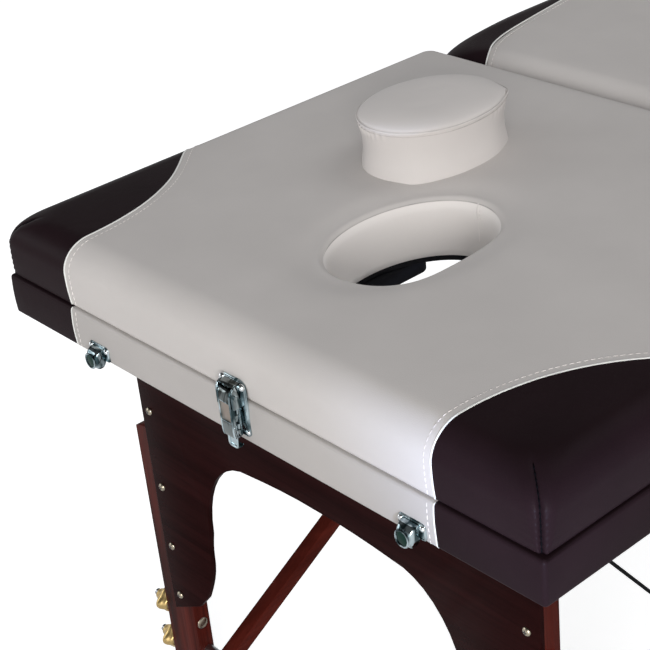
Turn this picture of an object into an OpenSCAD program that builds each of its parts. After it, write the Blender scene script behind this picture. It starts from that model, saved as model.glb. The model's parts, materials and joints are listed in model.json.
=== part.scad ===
// Folding massage table: two wooden halves hinged in the middle, a lift-up head section
// with a face hole, and legs that fold with the halves. Millimetres, +Z up.
// X is across the table, Y along it, and the head end is at -Y.

/* [Top] */
// Width over the vinyl-covered rails
table_w = 700; // [660:5:760]
// Length of one half, from its end rail to the fold
half_l = 930; // [925:1:950]
// Height of the top above the floor at the lowest leg setting
table_h = 610; // [604:1:630]
// Length of the head section that lifts
seam_v = 590; // [588:1:600]

/* [Frame] */
// Height of the rails
rail_h = 45; // [45:0.5:50]
// Thickness of the rails
rail_t = 18; // [16:0.5:20]
// Thickness of the plywood boards under the foam
board_t = 6; // [5:0.25:7]
// Distance that the fold axis lies below the rails
fold_drop = 7; // [6.5:0.25:9]

/* [Cushions] */
// Height of the foam cushions at their crown
foam_t = 60; // [50:1:75]
// Width of the face hole
hole_w = 123; // [110:1:140]
// Length of the face hole
hole_l = 175; // [150:1:190]
// Distance from the head end to the middle of the face hole
hole_v = 218; // [200:1:240]
// Width of the loose plug cushion
plug_w = 132; // [110:1:140]
// Length of the loose plug cushion
plug_l = 160; // [140:1:180]
// Height of the loose plug cushion
plug_h = 61; // [45:1:75]

/* [Legs] */
// Distance from the table's side to the outer face of a leg post
leg_inset = 79; // [77:0.5:84]
// Distance from the table's end to the leg's pivot
pivot_v = 88.5; // [86:0.25:92]
// Width of a leg post
post_w = 24; // [22:0.5:25]
// Thickness of a leg post
post_t = 19; // [17:0.25:19.5]
// Thickness of the arch panel
arch_t = 6; // [5:0.25:7]
// Travel of an extension leg
leg_travel = 230; // [180:5:232]

/* [Braces] */
// Width and height of a brace bar
brace_s = 16.5; // [16:0.25:16.75]
// Distance from the fold to the brace's upper pin
brace_back = 45; // [43:1:47]

/* [Back support] */
// Angle to which the head section lifts
lift_max = 70; // [70:1:70]
// Length of the steel prop's arms
prop_l = 250; // [246:0.5:254]

/* [Hidden] */
$fn = 48;

// Shared clearances
slip = 0.3;
bore_fit = 0.05;
cut = 1;
half_gap = 0.2;

// Colours
beige = [0.76, 0.74, 0.71];
cream = [0.88, 0.86, 0.83];
brown = [0.13, 0.09, 0.09];
mahogany = [0.20, 0.07, 0.05];
redwood = [0.34, 0.12, 0.08];
black_board = [0.07, 0.07, 0.08];
steel = [0.62, 0.64, 0.66];
chrome = [0.80, 0.83, 0.85];
brass = [0.78, 0.62, 0.30];
rubber = [0.08, 0.08, 0.08];

// Frame levels, measured up from the underside of the rails
rail_z = table_h - rail_h - foam_t;
board_w0 = rail_h - board_t;
inner_x = table_w / 2 - rail_t;
hinge_rail_t = 20;

// Latch at the head end and keeper at the foot end; the fold line moves so that both stand
// equally far from the middle
latch_out = 13.5;
keeper_out = 7.6;
fold_y = (latch_out - keeper_out) / 2;

// Leg pivot and leg levels, measured from the underside of the rails
pivot_w = 13;
rod_d = 8;
rod_bite = 11.5;
leg_front_v = pivot_v - (post_t + arch_t) / 2;
post_v = leg_front_v + arch_t;
post_head = 10;
post_top = pivot_w + post_head;
post_xo = table_w / 2 - leg_inset;
post_xi = post_xo - post_w;
head_post_gap = 18;
foot_post_gap = 92;
head_post_end = rail_z - head_post_gap;
foot_post_end = rail_z - foot_post_gap;
tip_h = 12;
tip_lip = 1;
ext_w = 28;
ext_inner_w = 12.5;
head_bolt_up = [107, 55];
foot_bolt_up = [175, 119];
head_bolts = [for (u = head_bolt_up) rail_z - u];
foot_bolts = [for (u = foot_bolt_up) rail_z - u];
ext_cap = 18;
ext_slant = 9;
ext_top = head_bolts[0] - leg_travel - ext_cap;
ext_inner_cap = 12;
ext_inner_top = foot_bolts[0] - leg_travel - ext_inner_cap;
bolt_d = 8;
slot_play = 0.3;
bolt_head_d = 14;
bolt_head_t = 2.7;
counterbore = 3;
washer_d = 18;
washer_t = 1.7;
knob_d = 34;
knob_tip_d = 14;
knob_h = 24;
knob_waist = 0.62;
bolt_tip = 5;

// Arch panel
arch_top_gap = 3;
arch_band = 127;
arch_mid = 121;
arch_end = 380;
arch_toe_in = 48;
arch_toe_x = post_xo - arch_toe_in;
arch_toe_w = 353;
arch_inner_in = 89;
arch_inner_x = post_xo - arch_inner_in;
arch_swell_in = 84;
arch_swell_x = post_xo - arch_swell_in;
arch_notch_in = 65;
arch_notch_x = post_xo - arch_notch_in;
arch_notch_w = 333;
arch_swell_w = 271;
arch_corner_x = 82;
arch_corner_w = 111;
arch_steps = 10;
screw_levels = [118, 212, 289, 355];
screw_inset = 13;
screw_d = 8.5;
screw_h = 2.6;

// Braces: the lower bar turns on the leg, the upper bar on the frame, and they lap at the knee.
// Straight when the leg stands; when it lies in the frame the upper bar is level and the lower
// bar turns back beside it, tilted by fold_tilt.
brace_v = half_l - brace_back;
brace_pin_up = 69;
brace_pin_w = rail_z - brace_pin_up;
brace_lift = 5;
brace_pin_v = pivot_v + brace_lift;
brace_top_gap = 2;
brace_top_w = board_w0 - brace_top_gap - brace_s / 2;
brace_in = 23;
brace_xo = post_xi - brace_in;
brace_run = brace_v - brace_pin_v;
brace_rise = brace_top_w + brace_pin_w;
brace_span = norm([brace_run, brace_rise]);
brace_angle = atan2(brace_rise, brace_run);
fold_reach = brace_v - (pivot_v + pivot_w + brace_pin_w);
fold_spare = brace_span - fold_reach;
fold_step = brace_top_w - pivot_w - brace_lift;
fold_back = (fold_spare * fold_spare - fold_step * fold_step) / (2 * fold_spare);
brace_short = fold_spare - fold_back;
brace_long = fold_reach + fold_back;
fold_tilt = atan2(fold_step, fold_back);
knee_v = brace_pin_v + brace_short * cos(brace_angle);
knee_w = brace_short * sin(brace_angle) - brace_pin_w;
pin_d = 8;
pin_grip = 12;
sleeve_d = 12;
knee_head_d = 15;
knee_head_t = 2.5;
bracket_t = 3;
bracket_web = 1.5;
bracket_l = 24;
bracket_drop = 33;
bracket_play = 0.4;
pin_head_t = 3;
pin_head_d = 13;

// Stay cables from the leg rod to the knee, a little slack
cable_d = 3;
eye_t = 3;
cable_x = brace_xo + slip + eye_t / 2;
cable_sag = 7;
cable_rings = 40;
cable_sides = 8;
eye_d = 14;

// Back section
board_fit = 0.5;
knuckle_r = 2.8;
axis_v = seam_v;
axis_w = board_w0 + board_t / 2;
board_cut = 3.5;
leaf_t = 1.5;
leaf_l = 16;
knuckle_l = 40;
hinge_batten_l = 20;
hinge_batten_t = 8;
batten_play = 4;
ledge_w = 14;
ledge_h = 9.5;
heel_l = 60;
batten_x = 55;
batten_w = 25;
batten_h = 17;
batten_v0 = 110;
batten_v1 = 293;

// Steel prop under the back section
prop_s = 6;
prop_v = seam_v - prop_l;
prop_drop = 5;
prop_w = board_w0 - prop_drop;
prop_eye_d = 8;
prop_in = 70;
prop_x = inner_x - prop_in;
prop_pin_d = 5;
prop_ear_t = 4;
prop_ear_l = 14;
prop_bar_gap = 16;
prop_bar_x = inner_x - prop_bar_gap;
prop_bar_in = 12;
ladder_w = 31;
ladder_x = inner_x - ladder_w;
ladder_base = 27;
ladder_foot = 12;
ladder_l = 34;
ladder_lip = 12;
ladder_lip_top = 36;
prop_pin_dv = prop_v - axis_v;
prop_pin_dw = prop_w - axis_w;
prop_rest_gap = 2.3;
prop_end_w = ladder_base + prop_s / 2 + prop_rest_gap;
raised_v = axis_v + prop_pin_dv * cos(lift_max) + prop_pin_dw * sin(lift_max);
raised_w = axis_w - prop_pin_dv * sin(lift_max) + prop_pin_dw * cos(lift_max);
prop_lean = asin((raised_w - prop_end_w) / prop_l);
prop_end_v = raised_v - prop_l * cos(prop_lean);
prop_turn = prop_lean + lift_max;

// Fold hinges under the rails
fold_pin_d = 4;
fold_barrel_d = 10;
fold_leaf_t = 2;
fold_leaf_l = 34;
fold_hinge_x = 140;
fold_hinge_l = 160;
fold_knuckles = 5;

// Cushion shape, all measured from the cushion's own bottom
bulge = 3;
rim_r = 14;
seam_play = 1.2;
corner_r = 12;
hole_rim = 9;
hole_x = 1;
corner_steps = 5;
side_steps = 7;

// Loose plug cushion, lying on the head section
plug_x = -112;
plug_v = 360;
plug_seam_share = 0.84;
plug_points = 48;

module on_head() {
    translate([0, fold_y - half_l, rail_z])
        children();
}

module on_foot() {
    translate([0, fold_y, 0])
        mirror([0, 1, 0])
            translate([0, -half_l, rail_z])
                children();
}

module both_sides() {
    children();
    mirror([1, 0, 0])
        children();
}

// A box from its lowest corner to its highest
module box(low, high) {
    translate(low)
        cube(high - low);
}

// A round bar along X from x0 to x1
module bar_x(d, x0, x1, v, w) {
    translate([x0, v, w])
        rotate([0, 90, 0])
            cylinder(d = d, h = x1 - x0);
}

// Rails

module end_rail() {
    box([-table_w / 2, 0, 0], [table_w / 2, rail_t, rail_h]);
}

// Two side rails and the rail at the fold, each a separate bar
module side_and_fold_rails() {
    fold_face = half_l - half_gap;
    both_sides()
        difference() {
            box([inner_x, rail_t, 0], [table_w / 2, fold_face, rail_h]);
            bar_x(rod_d + 2 * bore_fit, inner_x - cut, inner_x + rod_bite + slip, pivot_v, pivot_w);
        }
    box([-inner_x, half_l - hinge_rail_t, 0], [inner_x, fold_face, rail_h]);
}

module head_end_rail() {
    color(beige)
        on_head()
            end_rail();
}

module foot_end_rail() {
    color(beige)
        on_foot()
            end_rail();
}

module head_rails() {
    color(brown)
        on_head()
            side_and_fold_rails();
}

module foot_rails() {
    color(brown)
        on_foot()
            side_and_fold_rails();
}

// Ledges on the side rails that carry the lifting board
module head_ledges() {
    top = board_w0 - slip;
    color(redwood)
        on_head()
            both_sides()
                box([inner_x - ledge_w, rail_t, top - ledge_h], [inner_x, seam_v - leaf_l, top]);
}

// Stops that the raised prop stands in
module prop_ladders() {
    lip_v = prop_end_v + prop_s / 2 + slip;
    color(redwood)
        on_head()
            both_sides() {
                box([ladder_x, lip_v - ladder_l, ladder_foot], [inner_x, lip_v, ladder_base]);
                box([ladder_x, lip_v, ladder_foot], [inner_x - ledge_w, lip_v + ladder_lip, ladder_lip_top]);
                box([inner_x - ledge_w, lip_v, ladder_foot], [inner_x, lip_v + ladder_lip, ladder_base]);
            }
}

// Boards under the foam

module head_deck() {
    v0 = seam_v + board_cut;
    color(black_board)
        on_head() {
            box([-inner_x, v0, board_w0], [inner_x, half_l - hinge_rail_t, rail_h]);
            batten_v = v0 + leaf_l + slip;
            difference() {
                box([-inner_x, batten_v, board_w0 - hinge_batten_t], [inner_x, batten_v + hinge_batten_l, board_w0]);
                both_sides()
                    box([brace_xo - 2 * brace_s - batten_play, batten_v - cut, board_w0 - hinge_batten_t - cut],
                        [brace_xo - brace_s + batten_play, batten_v + hinge_batten_l + cut, board_w0]);
            }
        }
}

module foot_deck() {
    color(black_board)
        on_foot()
            box([-inner_x, rail_t, board_w0], [inner_x, half_l - hinge_rail_t, rail_h]);
}

module backrest_board() {
    color(black_board)
        on_head()
            difference() {
                box([board_fit - inner_x, rail_t + board_fit, board_w0],
                    [inner_x - board_fit, seam_v - board_cut, rail_h]);
                translate([hole_x, hole_v, board_w0 - cut])
                    scale([hole_w / hole_l, 1, 1])
                        cylinder(d = hole_l, h = board_t + 2 * cut, $fn = 64);
            }
}

// Two stiffening battens with rounded ends, either side of the face hole
module backrest_battens() {
    r = batten_w / 2;
    color(black_board)
        on_head()
            both_sides() {
                box([batten_x, batten_v0, board_w0 - batten_h], [batten_x + batten_w, batten_v1 - r, board_w0]);
                translate([batten_x + r, batten_v1 - r, board_w0 - batten_h])
                    cylinder(r = r, h = batten_h);
            }
}

// Cushion forms. Every ring follows one rectangle with rounded corners; the inset and height of
// the rings give the drawn-in foot, the bulged side, the rounded rim and the crown.

// Points of a rounded rectangle, counter-clockwise, with evenly stepped sides
function outline(x0, x1, y0, y1, r) =
    let(corners = [[x1 - r, y1 - r, 0], [x0 + r, y1 - r, 90], [x0 + r, y0 + r, 180], [x1 - r, y0 + r, 270]])
    [for (c = [0:3])
        let(here = corners[c], next = corners[(c + 1) % 4], a0 = here[2])
        each concat(
            [for (i = [0:corner_steps])
                let(a = a0 + 90 * i / corner_steps) [here[0] + r * cos(a), here[1] + r * sin(a)]],
            [for (i = [1:side_steps - 1])
                let(s = i / side_steps,
                    e0 = [here[0] + r * cos(a0 + 90), here[1] + r * sin(a0 + 90)],
                    e1 = [next[0] + r * cos(a0 + 90), next[1] + r * sin(a0 + 90)])
                e0 + (e1 - e0) * s])];

// Inset and height of each ring, from the foot up to the flat of the crown
function side_rings(t) = [
    [bulge, 0],
    [bulge / 6, t * 0.07],
    [-bulge * 0.7, t * 0.2],
    [-bulge, t * 0.42],
    [-bulge * 0.75, t * 0.62],
    [0, t - rim_r],
    [rim_r * 0.2, t - rim_r * 0.6],
    [rim_r * 0.52, t - rim_r * 0.3],
    [rim_r * 1.1, t - rim_r * 0.1],
    [rim_r * 2.6, t]];

// Plan radius of a ring grows towards the rim
function ring_r(inset) = corner_r + max(inset, -bulge) * 0.9;

// One ring: the free sides follow the inset, and a side that meets a neighbour stays behind its seam
function pad_ring(x0, x1, y0, y1, ring, meet0, meet1) =
    let(n = ring[0], n0 = meet0 ? max(n, seam_play) : n, n1 = meet1 ? max(n, seam_play) : n)
    [for (p = outline(x0 + n, x1 - n, y0 + n0, y1 - n1, ring_r(n))) [p[0], p[1], ring[1]]];

// Faces between two rings of n points, and a fan that closes a ring
function band_faces(a, b, n) = [for (i = [0:n - 1]) let(j = (i + 1) % n) each [
    [a + i, b + i, b + j], [a + i, b + j, a + j]]];

// Closed cushion from its rings, with a point at the middle of the top and of the bottom
module closed_pad(rings) {
    n = len(rings[0]);
    last = len(rings) - 1;
    mid_low = [for (k = [0:2]) (rings[0][0][k] + rings[0][floor(n / 2)][k]) / 2];
    mid_high = [for (k = [0:2]) (rings[last][0][k] + rings[last][floor(n / 2)][k]) / 2];
    points = concat([for (r = rings) each r], [mid_low, mid_high]);
    low = len(points) - 2;
    high = len(points) - 1;
    polyhedron(points, concat(
        [for (k = [0:last - 1]) each band_faces(k * n, (k + 1) * n, n)],
        [for (i = [0:n - 1]) [i, (i + 1) % n, low]],
        [for (i = [0:n - 1]) [last * n + (i + 1) % n, last * n + i, high]]), convexity = 4);
}

// Ring-shaped solid: the last ring joins the first again
module hollow_pad(rings) {
    n = len(rings[0]);
    count = len(rings);
    polyhedron([for (r = rings) each r],
        [for (k = [0:count - 1]) each band_faces(k * n, ((k + 1) % count) * n, n)], convexity = 6);
}

// Plain cushion over the whole width
module pad(v0, v1, meet0, meet1) {
    hx = table_w / 2;
    closed_pad([for (s = side_rings(foam_t)) pad_ring(-hx, hx, v0, v1, s, meet0, meet1)]);
}

// Point of the face hole's wall in the direction of p, grown by g
function hole_point(p, g, z) =
    let(a = atan2((p[1] - hole_v) / hole_l, (p[0] - hole_x) / hole_w))
    [hole_x + (hole_w / 2 + g) * cos(a), hole_v + (hole_l / 2 + g) * sin(a), z];

// Cushion of the lifting section, with the face hole through it
module holed_pad() {
    hx = table_w / 2;
    outer = [for (s = side_rings(foam_t)) pad_ring(-hx, hx, 0, seam_v, s, false, true)];
    edge = outer[len(outer) - 1];
    halfway = [for (p = edge) (p + hole_point(p, hole_rim * 3, foam_t)) / 2];
    steps = [[hole_rim * 2, foam_t], [hole_rim, foam_t - hole_rim * 0.12], [hole_rim * 0.35, foam_t - hole_rim * 0.5],
        [0, foam_t - hole_rim * 1.2], [0, foam_t / 2], [0, 0]];
    hollow_pad(concat(outer, [halfway], [for (s = steps) [for (p = edge) hole_point(p, s[0], s[1])]]));
}

module heel_space(low_v) {
    box([-table_w, low_v, rail_h - cut], [table_w, seam_v + cut, rail_h + foam_t + cut]);
}

module backrest_cushion() {
    color(beige)
        on_head()
            difference() {
                translate([0, 0, rail_h])
                    holed_pad();
                heel_space(seam_v - heel_l);
                translate([hardware_x, 0, 0])
                    box([-latch_w / 2 - slip, -bulge - cut, rail_h - cut], [latch_w / 2 + slip, slip, latch_high + slip]);
            }
}

// The strip of foam beside the seam, which squeezes as the section lifts
module backrest_heel() {
    color(beige)
        on_head()
            intersection() {
                translate([0, 0, rail_h])
                    holed_pad();
                heel_space(seam_v - heel_l);
            }
}

module head_cushion() {
    color(beige)
        on_head()
            translate([0, 0, rail_h])
                pad(seam_v, half_l, true, true);
}

module foot_cushion() {
    color(beige)
        on_foot()
            translate([0, 0, rail_h])
                pad(0, half_l, false, true);
}

// Plug cushion: an oval whose waist is drawn in under a piped seam, with a low crown on top
module hole_plug() {
    seam_z = plug_h * plug_seam_share;
    pipe = 1.5;
    waist = 3;
    rings = [[4, 0], [1, seam_z * 0.06], [waist * 0.8, seam_z * 0.3], [waist, seam_z * 0.55], [waist * 0.6, seam_z * 0.8],
        [1, seam_z - 2 * pipe], [-pipe, seam_z - pipe * 0.3], [pipe, seam_z + pipe * 1.2],
        [plug_w * 0.09, plug_h * 0.94], [plug_w * 0.24, plug_h * 0.99], [plug_w * 0.38, plug_h]];
    color(cream)
        on_head()
            translate([plug_x, plug_v, rail_h + foam_t + slip])
                closed_pad([for (r = rings)
                    [for (i = [0:plug_points - 1])
                        let(a = 360 * i / plug_points, point = 1 + 0.025 * pow(abs(sin(a)), 8))
                        [(plug_w / 2 - r[0]) * cos(a), (plug_l / 2 - r[0]) * sin(a) * point, r[1]]]]);
}

// Hinge between the lifting board and the fixed deck. The frame's leaf has every other knuckle.

hinge_margin = 20;
hinge_x = inner_x - hinge_margin;
knuckle_count = floor(2 * hinge_x / knuckle_l);

module board_hinge(first, side) {
    leaf_v = axis_v + side * board_cut;
    out_v = leaf_v + side * leaf_l;
    low = board_w0 - leaf_t;
    box([-hinge_x, min(leaf_v, out_v), low], [hinge_x, max(leaf_v, out_v), board_w0]);
    for (k = [first:2:knuckle_count - 1]) {
        x0 = -hinge_x + k * knuckle_l + slip;
        x1 = x0 + knuckle_l - 2 * slip;
        bar_x(2 * knuckle_r, x0, x1, axis_v, axis_w);
        box([x0, min(axis_v, leaf_v), low], [x1, max(axis_v, leaf_v), axis_w - knuckle_r / 2]);
    }
}

module backrest_hinge() {
    color(steel)
        on_head()
            board_hinge(0, 1);
}

module backrest_leaf() {
    color(steel)
        on_head()
            board_hinge(1, -1);
}

// Steel prop: two arms on pins under the board, a bar across near their ends and a foot pin
// outward from each end. The bar stays above the folded braces.
module backrest_prop() {
    color(steel)
        on_head() {
            both_sides()
                difference() {
                    union() {
                        box([prop_x, prop_v - prop_l, prop_w - prop_s / 2],
                            [prop_x + prop_s, prop_v, prop_w + prop_s / 2]);
                        bar_x(prop_eye_d, prop_x, prop_x + prop_s, prop_v, prop_w);
                    }
                    bar_x(prop_pin_d + 2 * bore_fit, prop_x - cut, prop_x + prop_s + cut, prop_v, prop_w);
                }
            bar_x(prop_s, -prop_x - prop_s / 2, prop_x + prop_s / 2, prop_v - prop_l + prop_bar_in, prop_w);
            both_sides()
                bar_x(prop_s, prop_x, prop_bar_x, prop_v - prop_l, prop_w);
        }
}

// Ears under the board, each with the pin that a prop arm turns on
module prop_ears() {
    x0 = prop_x - slip - prop_ear_t;
    color(steel)
        on_head()
            both_sides() {
                box([x0, prop_v - prop_ear_l / 2, prop_w - prop_eye_d / 2],
                    [x0 + prop_ear_t, prop_v + prop_ear_l / 2, board_w0]);
                bar_x(prop_pin_d, x0 + prop_ear_t / 2, prop_x + prop_s + slip, prop_v, prop_w);
            }
}

// Fold hinges: leaves screwed under the rails, with knuckles that alternate along the pin

module fold_hinge(first, pin) {
    seg = fold_hinge_l / fold_knuckles;
    both_sides() {
        box([fold_hinge_x, half_l - fold_leaf_l, -fold_leaf_t], [fold_hinge_x + fold_hinge_l, half_l - fold_leaf_t, 0]);
        for (k = [first:2:fold_knuckles - 1]) {
            x0 = fold_hinge_x + k * seg + slip / 2;
            x1 = x0 + seg - slip;
            difference() {
                union() {
                    bar_x(fold_barrel_d, x0, x1, half_l, -fold_drop);
                    box([x0, half_l - fold_barrel_d / 2, -fold_drop], [x1, half_l - fold_leaf_t, -fold_leaf_t / 2]);
                }
                bar_x(fold_pin_d + 2 * bore_fit, x0 - cut, x1 + cut, half_l, -fold_drop);
            }
        }
        if (pin)
            bar_x(fold_pin_d, fold_hinge_x, fold_hinge_x + fold_hinge_l, half_l, -fold_drop);
    }
}

module mid_hinge_head() {
    color(steel)
        on_head()
            fold_hinge(0, true);
}

module mid_hinge_foot() {
    color(steel)
        on_foot()
            fold_hinge(1, false);
}

// Legs

module leg_rod() {
    reach = inner_x + rod_bite;
    bar_x(rod_d, -reach, reach, pivot_v, pivot_w);
}

module head_leg_rod() {
    color(steel)
        on_head()
            leg_rod();
}

module foot_leg_rod() {
    color(steel)
        on_foot()
            leg_rod();
}

// Two posts, bored for the rod, the clamp bolts and the brace pin
module posts(end, bolts, sunk) {
    both_sides()
        difference() {
            box([post_xi, post_v, -end], [post_xo, post_v + post_t, post_top]);
            bar_x(rod_d + 2 * bore_fit, post_xi - cut, post_xo + cut, pivot_v, pivot_w);
            for (b = bolts) {
                bar_x(bolt_d + 2 * bore_fit, post_xi - cut, post_xo + cut, post_v + post_t / 2, -b);
                if (sunk)
                    bar_x(bolt_head_d + slip, post_xi - cut, post_xi + counterbore, post_v + post_t / 2, -b);
            }
            bar_x(pin_d + 2 * bore_fit, post_xi - cut, post_xi + pin_grip, brace_pin_v, -brace_pin_w);
        }
}

module head_posts() {
    color(mahogany)
        on_head()
            posts(head_post_end, head_bolts, true);
}

module foot_posts() {
    color(mahogany)
        on_foot()
            posts(foot_post_end, foot_bolts, false);
}

// One side of the arch, from the notch at the post up to the middle of the band
function arch_side() =
    let(corner = [arch_inner_x - arch_corner_x, -arch_band - arch_corner_w],
        swell = [for (i = [1:6])
            let(s = i / 6, w = -arch_notch_w + (arch_notch_w - arch_swell_w) * s)
            [arch_notch_x - (arch_notch_x - arch_swell_x) * sin(90 * s), w]],
        rise = [for (i = [1:4])
            let(s = i / 4, w = -arch_swell_w + (arch_swell_w + corner[1]) * s)
            [arch_swell_x + (arch_inner_x - arch_swell_x) * (1 - cos(90 * s)), w]],
        bend = [for (i = [1:arch_steps])
            let(a = 90 * i / arch_steps)
            corner + [arch_corner_x * cos(a), arch_corner_w * sin(a)]],
        crown = [for (i = [3:-1:1])
            let(s = i / 4)
            [corner[0] * s, -arch_mid - (arch_band - arch_mid) * s * s]])
    concat([[arch_toe_x, -arch_toe_w], [arch_notch_x, -arch_notch_w]], swell, rise, bend, crown);

module arch_panel() {
    side = arch_side();
    mirrored = [for (i = [len(side) - 1:-1:0]) [-side[i][0], side[i][1]]];
    outer_x = post_xo + tip_lip;
    translate([0, leg_front_v + arch_t, 0])
        rotate([90, 0, 0])
            linear_extrude(arch_t)
                polygon(concat([[outer_x, -arch_end]], [[outer_x, -arch_top_gap], [-outer_x, -arch_top_gap],
                    [-outer_x, -arch_end]], [for (i = [len(mirrored) - 1:-1:0]) mirrored[i]],
                    [for (i = [len(side) - 1:-1:0]) side[i]]));
}

module head_arch_panel() {
    color(mahogany)
        on_head()
            arch_panel();
}

module foot_arch_panel() {
    color(mahogany)
        on_foot()
            arch_panel();
}

// A low round head that stands out of a front face toward the table's end
module dome(x, v, w, d, h) {
    r = (d * d / 4 + h * h) / (2 * h);
    intersection() {
        translate([x, v + r - h, w])
            sphere(r = r, $fn = 32);
        translate([x, v, w])
            rotate([90, 0, 0])
                cylinder(d = d + cut, h = h + cut);
    }
}

// Panel screws, the clamp bolts with their washers, and the pins that the lower braces turn on
module leg_fasteners(bolts, sunk, sleeve) {
    bolt_v = post_v + post_t / 2;
    screw_x = post_xo - screw_inset;
    both_sides() {
        for (s = screw_levels)
            dome(screw_x, leg_front_v, -s, screw_d, screw_h);
        for (b = bolts) {
            out_x = sunk ? post_xo + slip + ext_w + slip : post_xo + slip;
            head_x = (sunk ? post_xi + counterbore : post_xi - 2 * slip - ext_inner_w) - bolt_head_t;
            bar_x(bolt_head_d, head_x, head_x + bolt_head_t, bolt_v, -b);
            bar_x(bolt_d, head_x, out_x + washer_t + slip + knob_h + bolt_tip, bolt_v, -b);
            bar_x(washer_d, out_x, out_x + washer_t, bolt_v, -b);
        }
        bar_x(pin_d, brace_xo - brace_s + slip, post_xi + pin_grip, brace_pin_v, -brace_pin_w);
        if (sleeve)
            difference() {
                bar_x(sleeve_d, brace_xo + slip, post_xi, brace_pin_v, -brace_pin_w);
                bar_x(pin_d + 2 * bore_fit, brace_xo, post_xi + cut, brace_pin_v, -brace_pin_w);
            }
    }
}

module head_leg_fasteners() {
    color(steel)
        on_head()
            leg_fasteners(head_bolts, true, true);
}

module foot_leg_fasteners() {
    color(steel)
        on_foot()
            leg_fasteners(foot_bolts, false, false);
}

// Extension leg on the right side: a bar with a long slot for the clamp bolts. The head end's
// run outside their posts and the foot end's inside, so the two sets pass as the table folds.
module extension(x0, width, top, slot_v, slot, slot_low, slot_high) {
    difference() {
        box([x0, post_v + slip, tip_h - rail_z], [x0 + width, post_v + post_t - slip, -top]);
        hull() {
            bar_x(slot, x0 - cut, x0 + width + cut, slot_v, -slot_low);
            bar_x(slot, x0 - cut, x0 + width + cut, slot_v, -slot_high);
        }
        translate([x0 + width / 2, post_v - cut, -top])
            rotate([0, atan2(ext_slant, width), 0])
                translate([-width, 0, 0])
                    cube([2 * width, post_t + 2 * cut, ext_slant + cut]);
    }
}

module head_extension() {
    bolt_v = post_v + post_t / 2;
    extension(post_xo + slip, ext_w, ext_top, bolt_v, bolt_d + 2 * slot_play, head_bolts[1], head_bolts[0] - leg_travel);
}

// The foot end's slot is wider, because the brace pin passes through it too
module foot_extension() {
    bolt_v = post_v + post_t / 2;
    extension(post_xi - slip - ext_inner_w, ext_inner_w, ext_inner_top, (bolt_v + brace_pin_v) / 2,
        bolt_d + brace_pin_v - bolt_v + 2 * slot_play, brace_pin_w, foot_bolts[0] - leg_travel);
}

module head_right_extension() {
    color(mahogany)
        on_head()
            head_extension();
}

module head_left_extension() {
    color(mahogany)
        on_head()
            mirror([1, 0, 0])
                head_extension();
}

module foot_right_extension() {
    color(mahogany)
        on_foot()
            foot_extension();
}

module foot_left_extension() {
    color(mahogany)
        on_foot()
            mirror([1, 0, 0])
                foot_extension();
}

// Rubber tip under an extension leg
module tip(x0, width) {
    box([x0, post_v - tip_lip, -rail_z], [x0 + width, post_v + post_t + tip_lip, tip_h - rail_z]);
}

module head_right_tip() {
    color(rubber)
        on_head()
            tip(post_xo + slip, ext_w);
}

module head_left_tip() {
    color(rubber)
        on_head()
            mirror([1, 0, 0])
                tip(post_xo + slip, ext_w);
}

module foot_right_tip() {
    color(rubber)
        on_foot()
            tip(post_xi - slip - ext_inner_w, ext_inner_w);
}

module foot_left_tip() {
    color(rubber)
        on_foot()
            mirror([1, 0, 0])
                tip(post_xi - slip - ext_inner_w, ext_inner_w);
}

// Brass clamp knob on the right side: four lobes at the leg that narrow towards the bolt's tip
function star_radius(a) = knob_d / 2 * (knob_waist + (1 - knob_waist) * pow(abs(cos(2 * a)), 1.4));

module knob(x0, w) {
    translate([x0, post_v + post_t / 2, -w])
        rotate([0, 90, 0])
            difference() {
                linear_extrude(knob_h, scale = knob_tip_d / knob_d)
                    polygon([for (i = [0:47]) let(a = i * 7.5) star_radius(a) * [cos(a), sin(a)]]);
                translate([0, 0, -cut])
                    cylinder(d = bolt_d + 2 * bore_fit, h = knob_h + 2 * cut);
            }
}

head_knob_x = post_xo + slip + ext_w + slip + washer_t + slip;
foot_knob_x = post_xo + slip + washer_t + slip;

module head_right_knob_upper() {
    color(brass)
        on_head()
            knob(head_knob_x, head_bolts[0]);
}

module head_right_knob_lower() {
    color(brass)
        on_head()
            knob(head_knob_x, head_bolts[1]);
}

module head_left_knob_upper() {
    color(brass)
        on_head()
            mirror([1, 0, 0])
                knob(head_knob_x, head_bolts[0]);
}

module head_left_knob_lower() {
    color(brass)
        on_head()
            mirror([1, 0, 0])
                knob(head_knob_x, head_bolts[1]);
}

module foot_right_knob_upper() {
    color(brass)
        on_foot()
            knob(foot_knob_x, foot_bolts[0]);
}

module foot_right_knob_lower() {
    color(brass)
        on_foot()
            knob(foot_knob_x, foot_bolts[1]);
}

module foot_left_knob_upper() {
    color(brass)
        on_foot()
            mirror([1, 0, 0])
                knob(foot_knob_x, foot_bolts[0]);
}

module foot_left_knob_lower() {
    color(brass)
        on_foot()
            mirror([1, 0, 0])
                knob(foot_knob_x, foot_bolts[1]);
}

// Braces

// Bar with round ends between two pins at their distance l, from the origin along +Y
module brace_bar(l) {
    half = brace_s / 2;
    difference() {
        union() {
            translate([0, 0, -half])
                cube([brace_s, l, brace_s]);
            bar_x(brace_s, 0, brace_s, 0, 0);
            bar_x(brace_s, 0, brace_s, l, 0);
        }
        bar_x(pin_d + 2 * bore_fit, -cut, brace_s + cut, 0, 0);
        bar_x(pin_d + 2 * bore_fit, -cut, brace_s + cut, l, 0);
    }
}

module lower_brace() {
    both_sides()
        translate([brace_xo - brace_s, brace_pin_v, -brace_pin_w])
            rotate([brace_angle, 0, 0])
                brace_bar(brace_short);
}

module upper_brace() {
    both_sides()
        translate([brace_xo - 2 * brace_s - slip, knee_v, knee_w])
            rotate([brace_angle, 0, 0])
                brace_bar(brace_long);
}

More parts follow.
